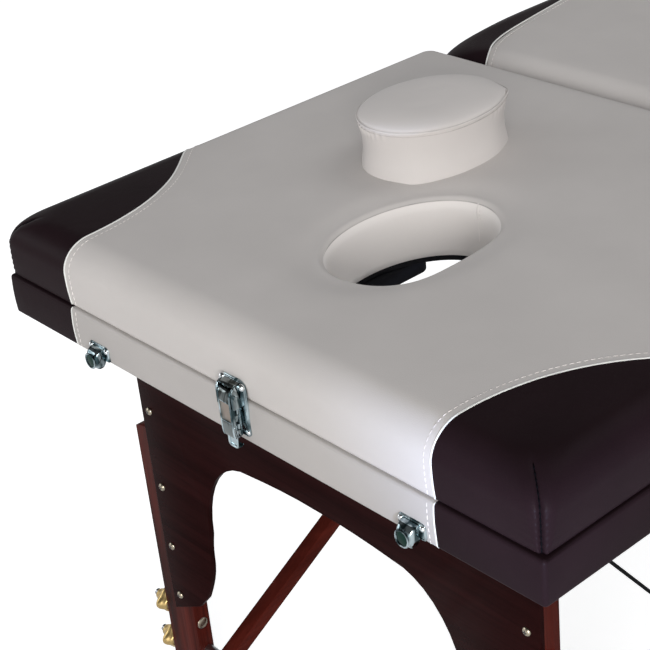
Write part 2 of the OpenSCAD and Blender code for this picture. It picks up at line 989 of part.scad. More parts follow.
// Half of the knee's bolt, which stays in the lower bar and ends at the lap
module knee_bolt() {
    both_sides() {
        bar_x(pin_d, brace_xo - brace_s + slip, brace_xo + eye_t + 2 * slip, knee_v, knee_w);
        bar_x(knee_head_d, brace_xo + eye_t + 2 * slip, brace_xo + eye_t + 2 * slip + knee_head_t, knee_v, knee_w);
    }
}

// Plates under the board on both sides of the upper bar, with the pin through them
module brackets() {
    x0 = brace_xo - 2 * brace_s - slip - bracket_play;
    x1 = brace_xo - brace_s - slip + bracket_play;
    v0 = brace_v - bracket_l / 2;
    low = board_w0 - bracket_drop;
    both_sides() {
        difference() {
            box([x0 - bracket_t, v0, low], [x1 + bracket_t, v0 + bracket_l, board_w0]);
            box([x0, v0 - cut, low - cut], [x1, v0 + bracket_l + cut, board_w0 - bracket_web]);
            bar_x(pin_d + 2 * bore_fit, x0 - bracket_t - cut, x1 + bracket_t + cut, brace_v, brace_top_w);
        }
        bar_x(pin_d, x0 - bracket_t, x1 + bracket_t, brace_v, brace_top_w);
        bar_x(pin_head_d, x0 - bracket_t - pin_head_t, x0 - bracket_t, brace_v, brace_top_w);
        bar_x(pin_head_d, x1 + bracket_t, x1 + bracket_t + pin_head_t, brace_v, brace_top_w);
    }
}

module head_brace_lower() {
    color(redwood)
        on_head()
            lower_brace();
}

module foot_brace_lower() {
    color(redwood)
        on_foot()
            lower_brace();
}

module head_brace_upper() {
    color(redwood)
        on_head()
            upper_brace();
}

module foot_brace_upper() {
    color(redwood)
        on_foot()
            upper_brace();
}

module head_knee_bolts() {
    color(steel)
        on_head()
            knee_bolt();
}

module foot_knee_bolts() {
    color(steel)
        on_foot()
            knee_bolt();
}

module head_brackets() {
    color(steel)
        on_head()
            brackets();
}

module foot_brackets() {
    color(steel)
        on_foot()
            brackets();
}

// Stay cable: a parabola between the eye on the leg rod and the eye on the knee bolt

cable_chord = [knee_v - pivot_v, knee_w - pivot_w];
cable_end = cable_chord / norm(cable_chord) * (eye_d + rod_d) / 4;
cable_from = [pivot_v, pivot_w] + cable_end;
cable_to = [knee_v, knee_w] - cable_end;

function cable_point(s) =
    let(p = cable_from + (cable_to - cable_from) * s)
    [cable_x, p[0], p[1] - 4 * cable_sag * s * (1 - s)];

// Ring of points around the cable at s, square to its run
function cable_ring(s) =
    let(d = cable_point(s + 0.001) - cable_point(s - 0.001), t = d / norm(d), up = [0, t[2], -t[1]])
    [for (i = [0:cable_sides - 1])
        let(a = 360 * i / cable_sides)
        cable_point(s) + cable_d / 2 * (cos(a) * [1, 0, 0] + sin(a) * up)];

module cable() {
    n = cable_sides;
    rings = [for (k = [0:cable_rings]) each cable_ring(k / cable_rings)];
    last = cable_rings * n;
    both_sides() {
        polyhedron(rings, concat(
            [[for (i = [0:n - 1]) i]],
            [for (k = [0:cable_rings - 1]) each band_faces(k * n, (k + 1) * n, n)],
            [[for (i = [n - 1:-1:0]) last + i]]));
        cable_eye(pivot_v, pivot_w, rod_d);
        cable_eye(knee_v, knee_w, pin_d);
    }
}

// Crimped eye at an end of the cable
module cable_eye(v, w, hole) {
    difference() {
        bar_x(eye_d, cable_x - eye_t / 2, cable_x + eye_t / 2, v, w);
        bar_x(hole + 2 * slip, cable_x - eye_t, cable_x + eye_t, v, w);
    }
}

module head_cables() {
    color(rubber)
        on_head()
            cable();
}

module foot_cables() {
    color(rubber)
        on_foot()
            cable();
}

// Draw latch on the head end, its keeper on the foot end, and the two locators

hardware_x = 8;
latch_w = 41;
latch_low = 6;
latch_high = 59;
latch_t = 1.6;
ear_x = 12.5;
ear_t = 1.5;
ear_low = 38;
ear_high = 57;
lever_pin_v = -9;
lever_pin_w = 49.5;
lever_pin_d = 4;
lever_x = 9.5;
lever_t = 1.5;
lever_high = 54.8;
lever_low = 3;
lever_flange_v = -5;
window_x = 4.5;
window_low = 9;
window_high = 22;
claw_x = 6.8;
claw_pin_v = -9.3;
claw_pin_w = 27;
claw_pin_d = 3;
claw_barrel_d = 5;
claw_rod = 2.4;
claw_play = 0.8;
claw_hook_v = -2.6;
rivet_d = 7;
rivet_h = 2.2;
rivet_in = 5;
keeper_x = 15;
keeper_high = 34;
keeper_reach = 11.5;
keeper_lip_t = 2;
claw_low = 2 * fold_drop - keeper_reach + keeper_lip_t + claw_play;
locator_x = 208.5;
locator_hw = 17;
locator_low = 1;
locator_high = 17.5;
tongue_hw = 10;
tongue_out = 13;
tongue_top = 15;
tongue_low = 9.5;

module latch_base() {
    color(chrome)
        on_head() translate([hardware_x, 0, 0]) {
            box([-latch_w / 2, -latch_t, latch_low], [latch_w / 2, 0, latch_high]);
            both_sides() {
                difference() {
                    box([ear_x - ear_t, lever_pin_v - lever_pin_d, ear_low], [ear_x, -latch_t, ear_high]);
                    bar_x(lever_pin_d + 2 * bore_fit, ear_x - ear_t - cut, ear_x + cut, lever_pin_v, lever_pin_w);
                }
                dome(latch_w / 2 - rivet_in, -latch_t, latch_high - rivet_in, rivet_d, rivet_h);
                dome(latch_w / 2 - rivet_in, -latch_t, latch_low + rivet_in, rivet_d, rivet_h);
            }
            bar_x(lever_pin_d, -ear_x, ear_x, lever_pin_v, lever_pin_w);
        }
}

// Lever: a bent channel with a window, on the latch's pin, which also carries the claw's pin
module latch_lever() {
    color(chrome)
        on_head() translate([hardware_x, 0, 0]) {
            difference() {
                box([-lever_x, -latch_out, lever_low], [lever_x, lever_flange_v, lever_high]);
                box([lever_t - lever_x, lever_t - latch_out, lever_low - cut],
                    [lever_x - lever_t, lever_flange_v + cut, lever_high + cut]);
                box([-window_x, -latch_out - cut, window_low], [window_x, lever_t - latch_out + cut, window_high]);
                bar_x(lever_pin_d + 2 * bore_fit, -lever_x - cut, lever_x + cut, lever_pin_v, lever_pin_w);
            }
            bar_x(claw_pin_d, lever_t - lever_x - bore_fit, lever_x - lever_t + bore_fit, claw_pin_v, claw_pin_w);
        }
}

// Claw: a wire frame that hangs from the lever and hooks under the keeper's lip
module latch_claw() {
    r = claw_rod / 2;
    color(chrome)
        on_head() translate([hardware_x, 0, 0]) {
            difference() {
                bar_x(claw_barrel_d, -claw_x, claw_x, claw_pin_v, claw_pin_w);
                bar_x(claw_pin_d + 2 * bore_fit, -claw_x - cut, claw_x + cut, claw_pin_v, claw_pin_w);
            }
            both_sides()
                box([claw_x - claw_rod, claw_pin_v - r, -claw_low], [claw_x, claw_pin_v + r, claw_pin_w - claw_pin_d / 2 - slip]);
            box([-claw_x, claw_pin_v - r, -claw_low - claw_rod], [claw_x, claw_hook_v, -claw_low]);
        }
}

module latch_keeper() {
    color(chrome)
        on_foot() translate([hardware_x, 0, 0]) {
            box([-keeper_x, -latch_t, -keeper_reach], [keeper_x, 0, keeper_high]);
            box([-claw_x, -keeper_out, -keeper_reach], [claw_x, -latch_t, keeper_lip_t - keeper_reach]);
            both_sides()
                dome(keeper_x - rivet_in, -latch_t, keeper_high - rivet_in, rivet_d, rivet_h);
        }
}

// Side view of a locator's tongue: out from the plate, bulged, and tapered to a point below the rail
function tongue_side() = [
    [0, tongue_top], [-tongue_out * 0.35, tongue_top * 0.98], [-tongue_out * 0.68, tongue_top * 0.85],
    [-tongue_out * 0.9, tongue_top * 0.6], [-tongue_out, tongue_top * 0.25], [-tongue_out * 0.97, -tongue_low * 0.2],
    [-tongue_out * 0.82, -tongue_low * 0.7], [-tongue_out * 0.6, -tongue_low], [-tongue_out * 0.42, -tongue_low * 0.9],
    [-tongue_out * 0.16, locator_low], [0, locator_low]];

module locators() {
    color(chrome)
        on_head() translate([hardware_x, 0, 0])
            both_sides()
                translate([locator_x, 0, 0]) {
                    box([-locator_hw, -latch_t, locator_low], [locator_hw, 0, locator_high]);
                    translate([-tongue_hw, 0, 0])
                        rotate([90, 0, 90])
                            linear_extrude(2 * tongue_hw)
                                polygon(tongue_side());
                    for (side = [-1, 1])
                        dome(side * (locator_hw - rivet_in), -latch_t, locator_high - rivet_in, rivet_d, rivet_h);
                }
}

head_end_rail();
head_rails();
head_ledges();
prop_ladders();
head_deck();
head_cushion();
backrest_hinge();
head_leg_rod();
head_brackets();
head_cables();
latch_base();
locators();
mid_hinge_head();
backrest_board();
backrest_battens();
backrest_cushion();
backrest_heel();
backrest_leaf();
prop_ears();
backrest_prop();
hole_plug();
latch_lever();
latch_claw();
head_posts();
head_arch_panel();
head_leg_fasteners();
head_brace_lower();
head_knee_bolts();
head_brace_upper();
head_left_extension();
head_right_extension();
head_left_tip();
head_right_tip();
head_left_knob_upper();
head_left_knob_lower();
head_right_knob_upper();
head_right_knob_lower();
foot_end_rail();
foot_rails();
foot_deck();
foot_cushion();
foot_leg_rod();
foot_brackets();
foot_cables();
latch_keeper();
mid_hinge_foot();
foot_posts();
foot_arch_panel();
foot_leg_fasteners();
foot_brace_lower();
foot_knee_bolts();
foot_brace_upper();
foot_left_extension();
foot_right_extension();
foot_left_tip();
foot_right_tip();
foot_left_knob_upper();
foot_left_knob_lower();
foot_right_knob_upper();
foot_right_knob_lower();
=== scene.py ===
"""Massage table: padded top in two colours, face hole with its plug cushion, wooden legs and latch."""

import itertools
import json
import math

import bmesh
import bpy
import numpy as np
from bpy.props import FloatProperty, FloatVectorProperty, PointerProperty
from bpy.types import Operator, Panel, PropertyGroup
from mathutils import Matrix, Vector


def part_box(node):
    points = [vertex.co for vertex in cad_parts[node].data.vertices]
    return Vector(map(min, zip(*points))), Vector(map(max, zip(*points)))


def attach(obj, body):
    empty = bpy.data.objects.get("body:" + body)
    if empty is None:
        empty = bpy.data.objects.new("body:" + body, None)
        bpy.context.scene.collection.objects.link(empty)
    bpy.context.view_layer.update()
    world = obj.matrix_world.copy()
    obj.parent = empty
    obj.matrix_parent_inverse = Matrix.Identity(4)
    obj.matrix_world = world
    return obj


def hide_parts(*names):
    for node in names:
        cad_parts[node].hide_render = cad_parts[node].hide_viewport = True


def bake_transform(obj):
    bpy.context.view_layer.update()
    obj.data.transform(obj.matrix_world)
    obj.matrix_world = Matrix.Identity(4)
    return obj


bl_info = {
    "name": "Massage Table",
    "version": (1, 0, 0),
    "blender": (4, 5, 0),
    "location": "View3D > Sidebar > Table",
    "description": "Builds the cushions, rails, latch and finishes of a folding massage table",
    "category": "Object",
}

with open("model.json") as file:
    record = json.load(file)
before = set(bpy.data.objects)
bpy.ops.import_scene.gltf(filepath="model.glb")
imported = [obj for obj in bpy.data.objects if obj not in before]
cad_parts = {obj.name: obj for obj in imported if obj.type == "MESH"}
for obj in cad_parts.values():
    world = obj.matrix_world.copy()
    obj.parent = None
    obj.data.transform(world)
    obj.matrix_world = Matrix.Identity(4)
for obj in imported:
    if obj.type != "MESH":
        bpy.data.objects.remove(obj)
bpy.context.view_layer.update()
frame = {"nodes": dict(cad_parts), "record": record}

# Levels of the frame, in millimetres, taken from the frame itself
HEAD_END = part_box("head_end_rail")[0][1] * 1000
FOOT_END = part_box("foot_end_rail")[1][1] * 1000
RAIL_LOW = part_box("head_end_rail")[0][2] * 1000
RAIL_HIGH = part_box("head_end_rail")[1][2] * 1000 - RAIL_LOW
HALF_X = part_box("head_end_rail")[1][0] * 1000
HALF_L = (FOOT_END - HEAD_END) / 2
SEAM_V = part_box("head_cushion")[0][1] * 1000 - HEAD_END
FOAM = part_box("head_cushion")[1][2] * 1000 - RAIL_LOW - RAIL_HIGH
HOLE = (1.0, 218.0, 61.5, 87.5)

# Two-tone line on the first cushion: distance from the end, and from the middle
PATCH = ([0, 30, 60, 90, 115, 140, 160, 180, 200, 220, 242], [241, 240, 242, 248, 256, 268, 280, 296, 315, 334, 352])
# The same on the second cushion, from the seam on
STRIP = ([588, 614, 635, 666, 710, 787, 860, 932], [259, 274, 284, 292, 300, 313, 328, 347])

# Stay cable of a half: centres of its ends, the sag at its middle and its diameter
CABLE_FROM = (225.8, 91.998, 8.756)
CABLE_TO = (225.8, 336.009, -287.306)
CABLE_SAG = 1.5
CABLE_D = 3.6

# Latch and locators stand this far to the right of the middle
HARDWARE_X = 8.0

# Colours that the panel shows
COLOURS = ("beige", "brown", "cream", "mahogany", "redwood", "brass")


# Placing

def to_row(points, half):
    """Points of a half frame (across, from the end, up from the rail's underside) in metres in the row frame."""
    p = np.asarray(points, dtype=float)
    out = np.empty_like(p)
    out[..., 0] = p[..., 0]
    out[..., 1] = HEAD_END + p[..., 1] if half == "head" else FOOT_END - p[..., 1]
    out[..., 2] = p[..., 2] + RAIL_LOW
    return out * 0.001


def grid_faces(rows, cols, wrap_rows=False):
    """Four-sided faces of a grid of points numbered row by row, whose columns run round."""
    r = np.arange(rows if wrap_rows else rows - 1)[:, None]
    c = np.arange(cols)[None, :]
    r1, c1 = (r + 1) % rows, (c + 1) % cols
    quads = np.stack([r * cols + c, r * cols + c1, r1 * cols + c1, r1 * cols + c], axis=-1)
    return quads.reshape(-1, 4).tolist()


def skin(points, wrap_rows=False):
    """Shape over a grid of points (rows, columns) whose columns run round. Its two ends are closed unless the rows
    run round too."""
    rows, cols = points.shape[:2]
    faces = grid_faces(rows, cols, wrap_rows)
    if not wrap_rows:
        faces += [list(range(cols)), list(range((rows - 1) * cols, rows * cols))]
    return points.reshape(-1, 3), faces


def unit(ways):
    """Directions with their lengths made one."""
    return ways / (np.linalg.norm(ways, axis=-1, keepdims=True) + 1e-9)


def full_turn(count):
    """Equal steps round a circle."""
    return np.linspace(0, 2 * np.pi, count, endpoint=False)


def new_object(name, data):
    """Object in the scene that holds the data."""
    obj = bpy.data.objects.new(name, data)
    bpy.context.scene.collection.objects.link(obj)
    return obj


def build(name, shapes, look, half="head", crease=None, merge=0.0, dx=0.0):
    """One mesh object from shapes, each a pair (points, faces) in half-frame millimetres, moved across by dx. Edges
    sharper than the crease's degrees stay crisp."""
    points, faces, base = [], [], 0
    for pts, fcs in shapes:
        points.append(pts)
        faces += [[i + base for i in f] for f in fcs]
        base += len(pts)
    mesh = bpy.data.meshes.new(name)
    mesh.from_pydata(to_row(np.concatenate(points) + (dx, 0, 0), half).tolist(), [], faces)
    bm = bmesh.new()
    bm.from_mesh(mesh)
    if merge:
        bmesh.ops.remove_doubles(bm, verts=bm.verts, dist=merge * 0.001)
    bmesh.ops.recalc_face_normals(bm, faces=bm.faces)
    bm.to_mesh(mesh)
    bm.free()
    mesh.shade_smooth()
    if crease:
        mesh.set_sharp_from_angle(angle=math.radians(crease))
    mesh.materials.append(paint(look))
    return new_object(name, mesh)


def piece(name, shapes, look, body, *nodes, slot=None, **how):
    """Piece built in its look and put on its body, for the CAD nodes that it stands for."""
    return ride(build(name, shapes, look, **how), body, *nodes, slot=slot)


def block(low, high, r=0.6, n=2):
    """Rounded block: a ball cut at its quadrants, with the eight parts pulled out to the corners."""
    low, high = np.array(low, float), np.array(high, float)
    mid, r = (low + high) / 2, min(r, float((high - low).min()) / 2.001)
    reach = (high - low) / 2 - r
    la = np.radians(np.concatenate([np.linspace(-90, 0, n + 1), np.linspace(0, 90, n + 1)]))[:, None]
    lo = np.radians(np.concatenate([np.linspace(90 * q, 90 * q + 90, n + 1) for q in range(4)]))[None, :]
    sx, sy = (np.repeat(s, n + 1)[None, :] for s in ([1.0, -1.0, -1.0, 1.0], [1.0, 1.0, -1.0, -1.0]))
    sz = np.repeat([-1.0, 1.0], n + 1)[:, None]
    x = mid[0] + sx * reach[0] + r * np.cos(la) * np.cos(lo)
    y = mid[1] + sy * reach[1] + r * np.cos(la) * np.sin(lo)
    z = mid[2] + sz * reach[2] + r * np.sin(la) * np.ones_like(lo)
    return skin(np.stack([x, y, z], axis=-1))


def tube(path, radius, sides=10, normals=(0.0, 0.0, 1.0), scale=(1.0, 1.0), closed=False):
    """Round section carried along a path: centre plus radius times the cosine and sine of the turn, across the path."""
    ways = np.roll(path, -1, axis=0) - np.roll(path, 1, axis=0) if closed else np.gradient(path, axis=0)
    ways = unit(ways)
    side = unit(np.cross(ways, np.broadcast_to(normals, path.shape)))
    up = np.cross(side, ways)
    a = full_turn(sides)[:, None]
    radius = np.broadcast_to(np.asarray(radius, float), len(path))[:, None, None]
    section = side[:, None] * np.cos(a) * scale[0] + up[:, None] * np.sin(a) * scale[1]
    return skin(path[:, None] + radius * section, wrap_rows=closed)


def turned(profile, centre, axis="v", sign=-1.0, sides=24, lobes=None):
    """Turned piece: a profile of (distance along the axis, radius) swept round it. Lobes scale the radius."""
    prof, a = np.asarray(profile, float), full_turn(sides)
    radius = prof[:, 1:] * (np.ones_like(a) if lobes is None else lobes(prof, a))
    c, s = radius * np.cos(a), radius * np.sin(a)
    along = prof[:, :1] * sign + np.zeros_like(c)
    return skin(np.stack((along, c, s) if axis == "x" else (c, along, s), axis=-1) + centre)


def pin(tip, body, out, w, sides=20):
    """Pin across the latch, its tip and body each (reach from the middle, radius)."""
    return turned([(-tip[0], tip[1]), (-body[0], body[1]), body, tip], (0, -out, w), "x", 1.0, sides)


def dome_profile(radius, height, steps=7, foot=0.0):
    """Round head: a quarter ellipse from the rim to the crown, with a small flat pole."""
    t = np.linspace(0, 0.97, steps) * np.pi / 2
    prof = np.stack([height * np.sin(t), radius * np.cos(t)], axis=-1)
    return np.concatenate([[[-foot, radius]], prof])


def distances(path):
    """Distance along a path at each of its points."""
    return np.concatenate([[0], np.cumsum(np.linalg.norm(np.diff(path, axis=0), axis=1))])


def read_off(s, d, values):
    """Rows of values at the distances s, where d are the distances of the rows."""
    return np.stack([np.interp(s, d, values[:, k]) for k in range(values.shape[1])], axis=-1)


def resample(path, normals, step):
    """Points at equal steps along a path, with its normals."""
    d = distances(path)
    s = np.linspace(0, d[-1], max(int(d[-1] / step), 2) + 1)
    return read_off(s, d, path), unit(read_off(s, d, normals))


def stitches(path, normals, length=4.2, gap=1.6, radius=0.36, lift=0.15):
    """Row of thread stitches: short capsules that follow the path, each of four rings of six points."""
    d = distances(path)
    count = int(d[-1] // (length + gap))
    start = np.arange(count) * (length + gap) + gap / 2
    s = start[:, None] + np.array([0.0, 0.2, 0.8, 1.0]) * length
    swell = np.array([0.25, 1.0, 1.0, 0.25])[:, None]
    p = read_off(s, d, path)
    t = unit(np.gradient(p, axis=1))
    side = unit(np.cross(t, read_off(s, d, normals)))
    up = np.cross(side, t)
    a = full_turn(6)[:, None]
    centre = p + up * (lift + radius * (swell - 1) * 0.6)
    around = side[:, :, None] * np.cos(a) + up[:, :, None] * np.sin(a)
    pts = centre[:, :, None] + radius * swell[:, None] * around
    one = skin(pts[0])[1]
    return pts.reshape(-1, 3), [[i + 24 * k for i in face] for k in range(count) for face in one]


def smooth_path(points, n=40):
    """Even points on a rounded polyline: linear steps averaged with their neighbours."""
    p = np.asarray(points, float)
    d = distances(p)
    q = read_off(np.linspace(0, d[-1], n), d, p)
    for _ in range(3):
        q[1:-1] = (q[:-2] + 2 * q[1:-1] + q[2:]) / 4
    return q


# Cushions

# Rim of a cushion: how far it runs in, how far it rises, how far the side's foot is drawn in, and the top's crown
RUN, RISE, TUCK, CROWN = 32.0, 28.0, 2.0, 2.6
# Lip of the face hole: its reach, its drop, and the sink of the top towards it
LIP, LIP_DROP, SINK = 8.0, 12.0, 3.6


def side_profile(steps=18):
    """Side of a cushion from its foot to the flat top, as (inset, height): a foot that is drawn in and swells out
    by a sine, then a quarter ellipse over the rim."""
    t = np.linspace(0, 1, steps)
    foot = np.stack([TUCK * (1 - np.sin(t * np.pi / 2)) ** 1.4, (FOAM - RISE) * t], axis=-1)
    a = np.linspace(0, np.pi / 2, steps)[1:]
    rim = np.stack([RUN * (1 - np.cos(a)), FOAM - RISE + RISE * np.sin(a)], axis=-1)
    return np.concatenate([foot, rim])


PROFILE = side_profile()
TOP = PROFILE[-1, 1]
# Corners in plan: radius at the foot, growth with the inset, and swell above the foot
TIGHT, NEAR, WIDE = (5.0, 0.35, 0.0), (3.2, 0.8, 14.0), (30.0, 1.2, 0.0)
DARTS = [(HALF_X, 0, 1, -1), (-HALF_X, 0, -1, -1)]
# Where each cushion begins and ends, from the end of its half
FIRST, SECOND, FOOT = (0.0, SEAM_V - 0.8), (SEAM_V + 0.8, HALF_L - 0.4), (0.0, HALF_L - 0.4)


def corner_radius(kind, inset, w):
    """Radius of a corner in plan: its radius at the foot, what it gains soon above the foot, and its growth with the
    inset of the rim."""
    foot, growth, swell = kind
    return foot + swell * (1 - np.exp(-w / 14)) + growth * inset


def ring(hy, mid, inset, radii, across=56, along=46, arc=34):
    """Outline of a cushion drawn in by inset, with the same numbering at any size. The radii run from the far right
    corner on, and points crowd at the middle of each corner."""
    hx, hy = HALF_X - inset, hy - inset
    signs = [(1, 1), (-1, 1), (-1, -1), (1, -1)]
    t = np.linspace(-1, 1, arc, endpoint=False)
    t = 0.5 + 0.5 * np.sign(t) * np.abs(t) ** 1.6

    def on_corner(k, a):
        """Points of a corner's arc at the turns a."""
        (sx, sy), r = signs[k % 4], radii[k % 4]
        return np.stack([sx * (hx - r) + r * np.cos(a), sy * (hy - r) + r * np.sin(a)], axis=-1)

    parts = []
    for k in range(4):
        turn = (k + 1) * np.pi / 2
        here, there = on_corner(k, turn), on_corner(k + 1, turn)
        steps = np.linspace(0, 1, along if k % 2 else across, endpoint=False)[:, None]
        parts += [on_corner(k, (k + t) * np.pi / 2), here + (there - here) * steps]
    return np.concatenate(parts) + (0.0, mid)


def crown_height(x, v, span):
    """Crown of the top: the product of two parabolas that are zero where the rim begins."""
    fx = 1 - (x / (HALF_X - RUN)) ** 2
    fy = 1 - ((v - sum(span) / 2) / ((span[1] - span[0]) / 2 - RUN)) ** 2
    return CROWN * np.clip(fx, 0, 1) ** 0.7 * np.clip(fy, 0, 1) ** 0.7


def apart(turn, degrees):
    """Degrees between a turn in radians and a direction."""
    return np.degrees(np.angle(np.exp(1j * (turn - math.radians(degrees)))))


def hole_full(turn):
    """How far the hole's rim is drawn out towards its two corners on the near side, by the direction from its middle."""
    return 12.0 * np.exp(-(apart(turn, -50) / 25) ** 2) + 4.0 * np.exp(-(apart(turn, 48) / 22) ** 2)


def hole_dish(x, v):
    """Soft sink of the top towards the hole: a bell curve of the distance from the lip."""
    grow = (np.hypot((x - HOLE[0]) / HOLE[2], (v - HOLE[1]) / HOLE[3]) - 1) * (HOLE[2] + HOLE[3]) / 2
    return SINK * np.exp(-(np.clip(grow - LIP, 0, None) / 20) ** 2)


def dart_lean(inward):
    """How far a dart stands off the corner's diagonal."""
    return 0.7 + 0.085 * inward


def sewn_in(points, darts, share=1.0):
    """Points drawn in along the corner darts: a narrow valley that leans a little towards the end, level on the side,
    downwards on the top, and faded out there. Only the full share has puckers."""
    out = points.copy()
    for cx, cv, sx, sv in darts:
        dx, dv = (points[:, 0] - cx) * sx, (points[:, 1] - cv) * sv
        inward = -(dx + dv) / math.sqrt(2)
        across = (dx - dv) / math.sqrt(2) + dart_lean(inward)
        near = np.exp(-(dx ** 2 + dv ** 2) / 60 ** 2) / (1 + np.exp((inward - 37) / 3))
        pucker = 0.5 * np.sin((points[:, 2] - inward) * 1.1 + 0.5 * np.sin(across)) * (share == 1.0)
        pull = share * near * (2.6 * np.exp(-(across / 2.0) ** 2) + (0.8 + pucker) * np.exp(-(across / 7) ** 2))
        side = np.clip((TOP + RAIL_HIGH - points[:, 2]) / 24, 0, 1)
        out -= np.stack([sx * pull * side * 0.7, sv * pull * side * 0.7, pull * (1 - side) * 0.9], axis=-1)
    return out


def cushion_shape(span, corners, hole=False, darts=(), dips=(), spread=30):
    """Cushion as rings: up the side by the profile, over the top with its crown, and down the hole's wall or to a
    small flat middle. Dips lower the rim by a bell curve about a corner; the top sinks a little towards the hole."""
    hy, mid = (span[1] - span[0]) / 2, sum(span) / 2
    rings = [ring(hy, mid, inset, [corner_radius(kind, inset, w) for kind in corners]) for inset, w in PROFILE]
    edge = rings[-1]
    heights = [np.full(len(edge), w) for w in PROFILE[:, 1]]
    centre, axes = (HOLE[:2], HOLE[2:]) if hole else ((0.0, mid), (0.6, 0.6))
    way = unit(edge - centre)
    turn = np.arctan2(way[:, 1], way[:, 0])

    def oval(grow):
        """Point of the hole's oval, grown by a distance, in the direction of each outer point."""
        reach = 1 / np.linalg.norm(way / (np.array(axes) + grow), axis=1) + hole_full(turn) * hole
        return way * reach[:, None] + centre

    lip = LIP * hole
    inner = oval(lip)
    for s in np.linspace(0, 1, spread + 1)[1:]:
        rings.append(edge + (inner - edge) * (1 - (1 - s) ** (1.7 if hole else 1.0)))
        heights.append(np.full(len(edge), TOP))
    for k in range(len(PROFILE) - 1, len(rings)):
        heights[k] = heights[k] + crown_height(*rings[k].T, span) - hole_dish(*rings[k].T) * hole
    if hole:
        brim = heights[-1]
        for a in np.linspace(0, np.pi / 2, 11)[1:]:
            rings.append(oval(lip * (1 - np.sin(a))))
            heights.append(brim - LIP_DROP * (1 - np.cos(a)))
        level = heights[-1]
        for s in np.linspace(0, 1, 9)[1:]:
            rings.append(oval(2.2 * np.sin(s * np.pi) - 0.8 * s))
            heights.append(level * (1 - s))
    pts = np.concatenate([np.column_stack([r, h + RAIL_HIGH]) for r, h in zip(rings, heights)])
    pts = sewn_in(pts, darts)
    for cx, cv, deep, wide in dips:
        bell = np.exp(-((pts[:, 0] - cx) ** 2 + (pts[:, 1] - cv) ** 2) / wide ** 2)
        pts[:, 2] -= deep * bell * np.clip((pts[:, 2] - RAIL_HIGH) / TOP, 0, 1)
    return skin(pts.reshape(len(rings), -1, 3), wrap_rows=hole)


def line_on_top(line, span, side, shift=0.0, far_end=False):
    """Path of the two-tone line over a cushion, with its normals: up the end face, across the top, and down the long
    side or the far end. Shift moves it towards the middle."""
    vs, xs = line
    fine = np.linspace(vs[0], vs[-1], 240)
    reach = np.convolve(np.pad(np.interp(fine, vs, xs), 15, mode="edge"), np.ones(31) / 31, mode="valid")
    slope = np.gradient(reach, fine)
    lx = reach - shift / np.sqrt(1 + slope ** 2)
    lv = fine + shift * slope / np.sqrt(1 + slope ** 2)
    inset, w = PROFILE.T
    inward, up = unit(np.gradient(PROFILE, axis=0)).T
    zero = np.zeros_like(w)
    keep = (lv > span[0] + RUN) & (lv < span[1] - RUN) & (lx < HALF_X - RUN)
    over = np.stack([lx, lv, TOP + crown_height(lx, lv, span)])[:, keep]
    near = [np.interp(span[0] + inset, lv, lx), span[0] + inset, w]
    if far_end:
        last, out = [np.interp(span[1] - inset, lv, lx), span[1] - inset, w], [zero, up, inward]
    else:
        last, out = [HALF_X - inset, np.interp(HALF_X - inset, lx, lv), w], [up, zero, inward]
    path = np.concatenate([near, over, np.array(last)[:, ::-1]], axis=1).T + (0, 0, RAIL_HIGH)
    flat = np.repeat([[0.0], [0.0], [1.0]], over.shape[1], axis=1)
    normal = np.concatenate([[zero, -up, inward], flat, np.array(out)[:, ::-1]], axis=1).T
    return path * (side, 1, 1), normal * (side, 1, 1)


# Materials

def feed(tree, socket, value):
    """Sets a socket, or links it where the value is a socket itself."""
    if isinstance(value, bpy.types.NodeSocket):
        tree.links.new(value, socket)
    else:
        socket.default_value = (*value, 1) if socket.type == "RGBA" else value


def add_node(tree, kind, **inputs):
    """Shader node with its inputs fed."""
    node = tree.nodes.new("ShaderNode" + kind)
    for name, value in inputs.items():
        feed(tree, node.inputs[name.replace("_", " ")], value)
    return node


def new_material(name, colour, roughness=0.5, metallic=0.0, gloss=0.035, bends=False):
    """Material with its shader and its coordinates ready: Object coordinates, or where asked the places of its points
    at rest."""
    mat = bpy.data.materials.new(name)
    mat.use_nodes = True
    tree = mat.node_tree
    shader = tree.nodes["Principled BSDF"]
    values = {"Base Color": colour, "Roughness": roughness, "Metallic": metallic, "Specular IOR Level": gloss}
    for socket, value in values.items():
        feed(tree, shader.inputs[socket], value)
    if bends:
        held = tree.nodes.new("ShaderNodeAttribute")
        held.attribute_name = "rest_place"
        return mat, tree, shader, held.outputs["Vector"]
    return mat, tree, shader, tree.nodes.new("ShaderNodeTexCoord").outputs["Object"]


def noise(tree, source, scale, detail=3.0, stretch=None, rough=0.5, distortion=0.0):
    """Noise on the coordinates, stretched where asked."""
    if stretch is not None:
        source = add_node(tree, "Mapping", Vector=source, Scale=stretch).outputs["Vector"]
    return add_node(tree, "TexNoise", Vector=source, Scale=scale, Detail=detail, Roughness=rough,
                    Distortion=distortion).outputs["Fac"]


def math_node(tree, operation, *values):
    """One sum of values or sockets."""
    node = tree.nodes.new("ShaderNodeMath")
    node.operation = operation
    for socket, value in zip(node.inputs, values):
        feed(tree, socket, value)
    return node.outputs["Value"]


def blend_colour(tree, fac, a, b):
    """Mix of two colours or colour sockets."""
    node = tree.nodes.new("ShaderNodeMix")
    node.data_type = "RGBA"
    for name, value in (("Factor", fac), ("A", a), ("B", b)):
        feed(tree, node.inputs[name], value)
    return node.outputs["Result"]


def map_range(tree, value, lo, hi, to_lo=0.0, to_hi=1.0):
    """Value moved from one range to another, clamped."""
    return add_node(tree, "MapRange", Value=value, From_Min=lo, From_Max=hi, To_Min=to_lo,
                    To_Max=to_hi).outputs["Result"]


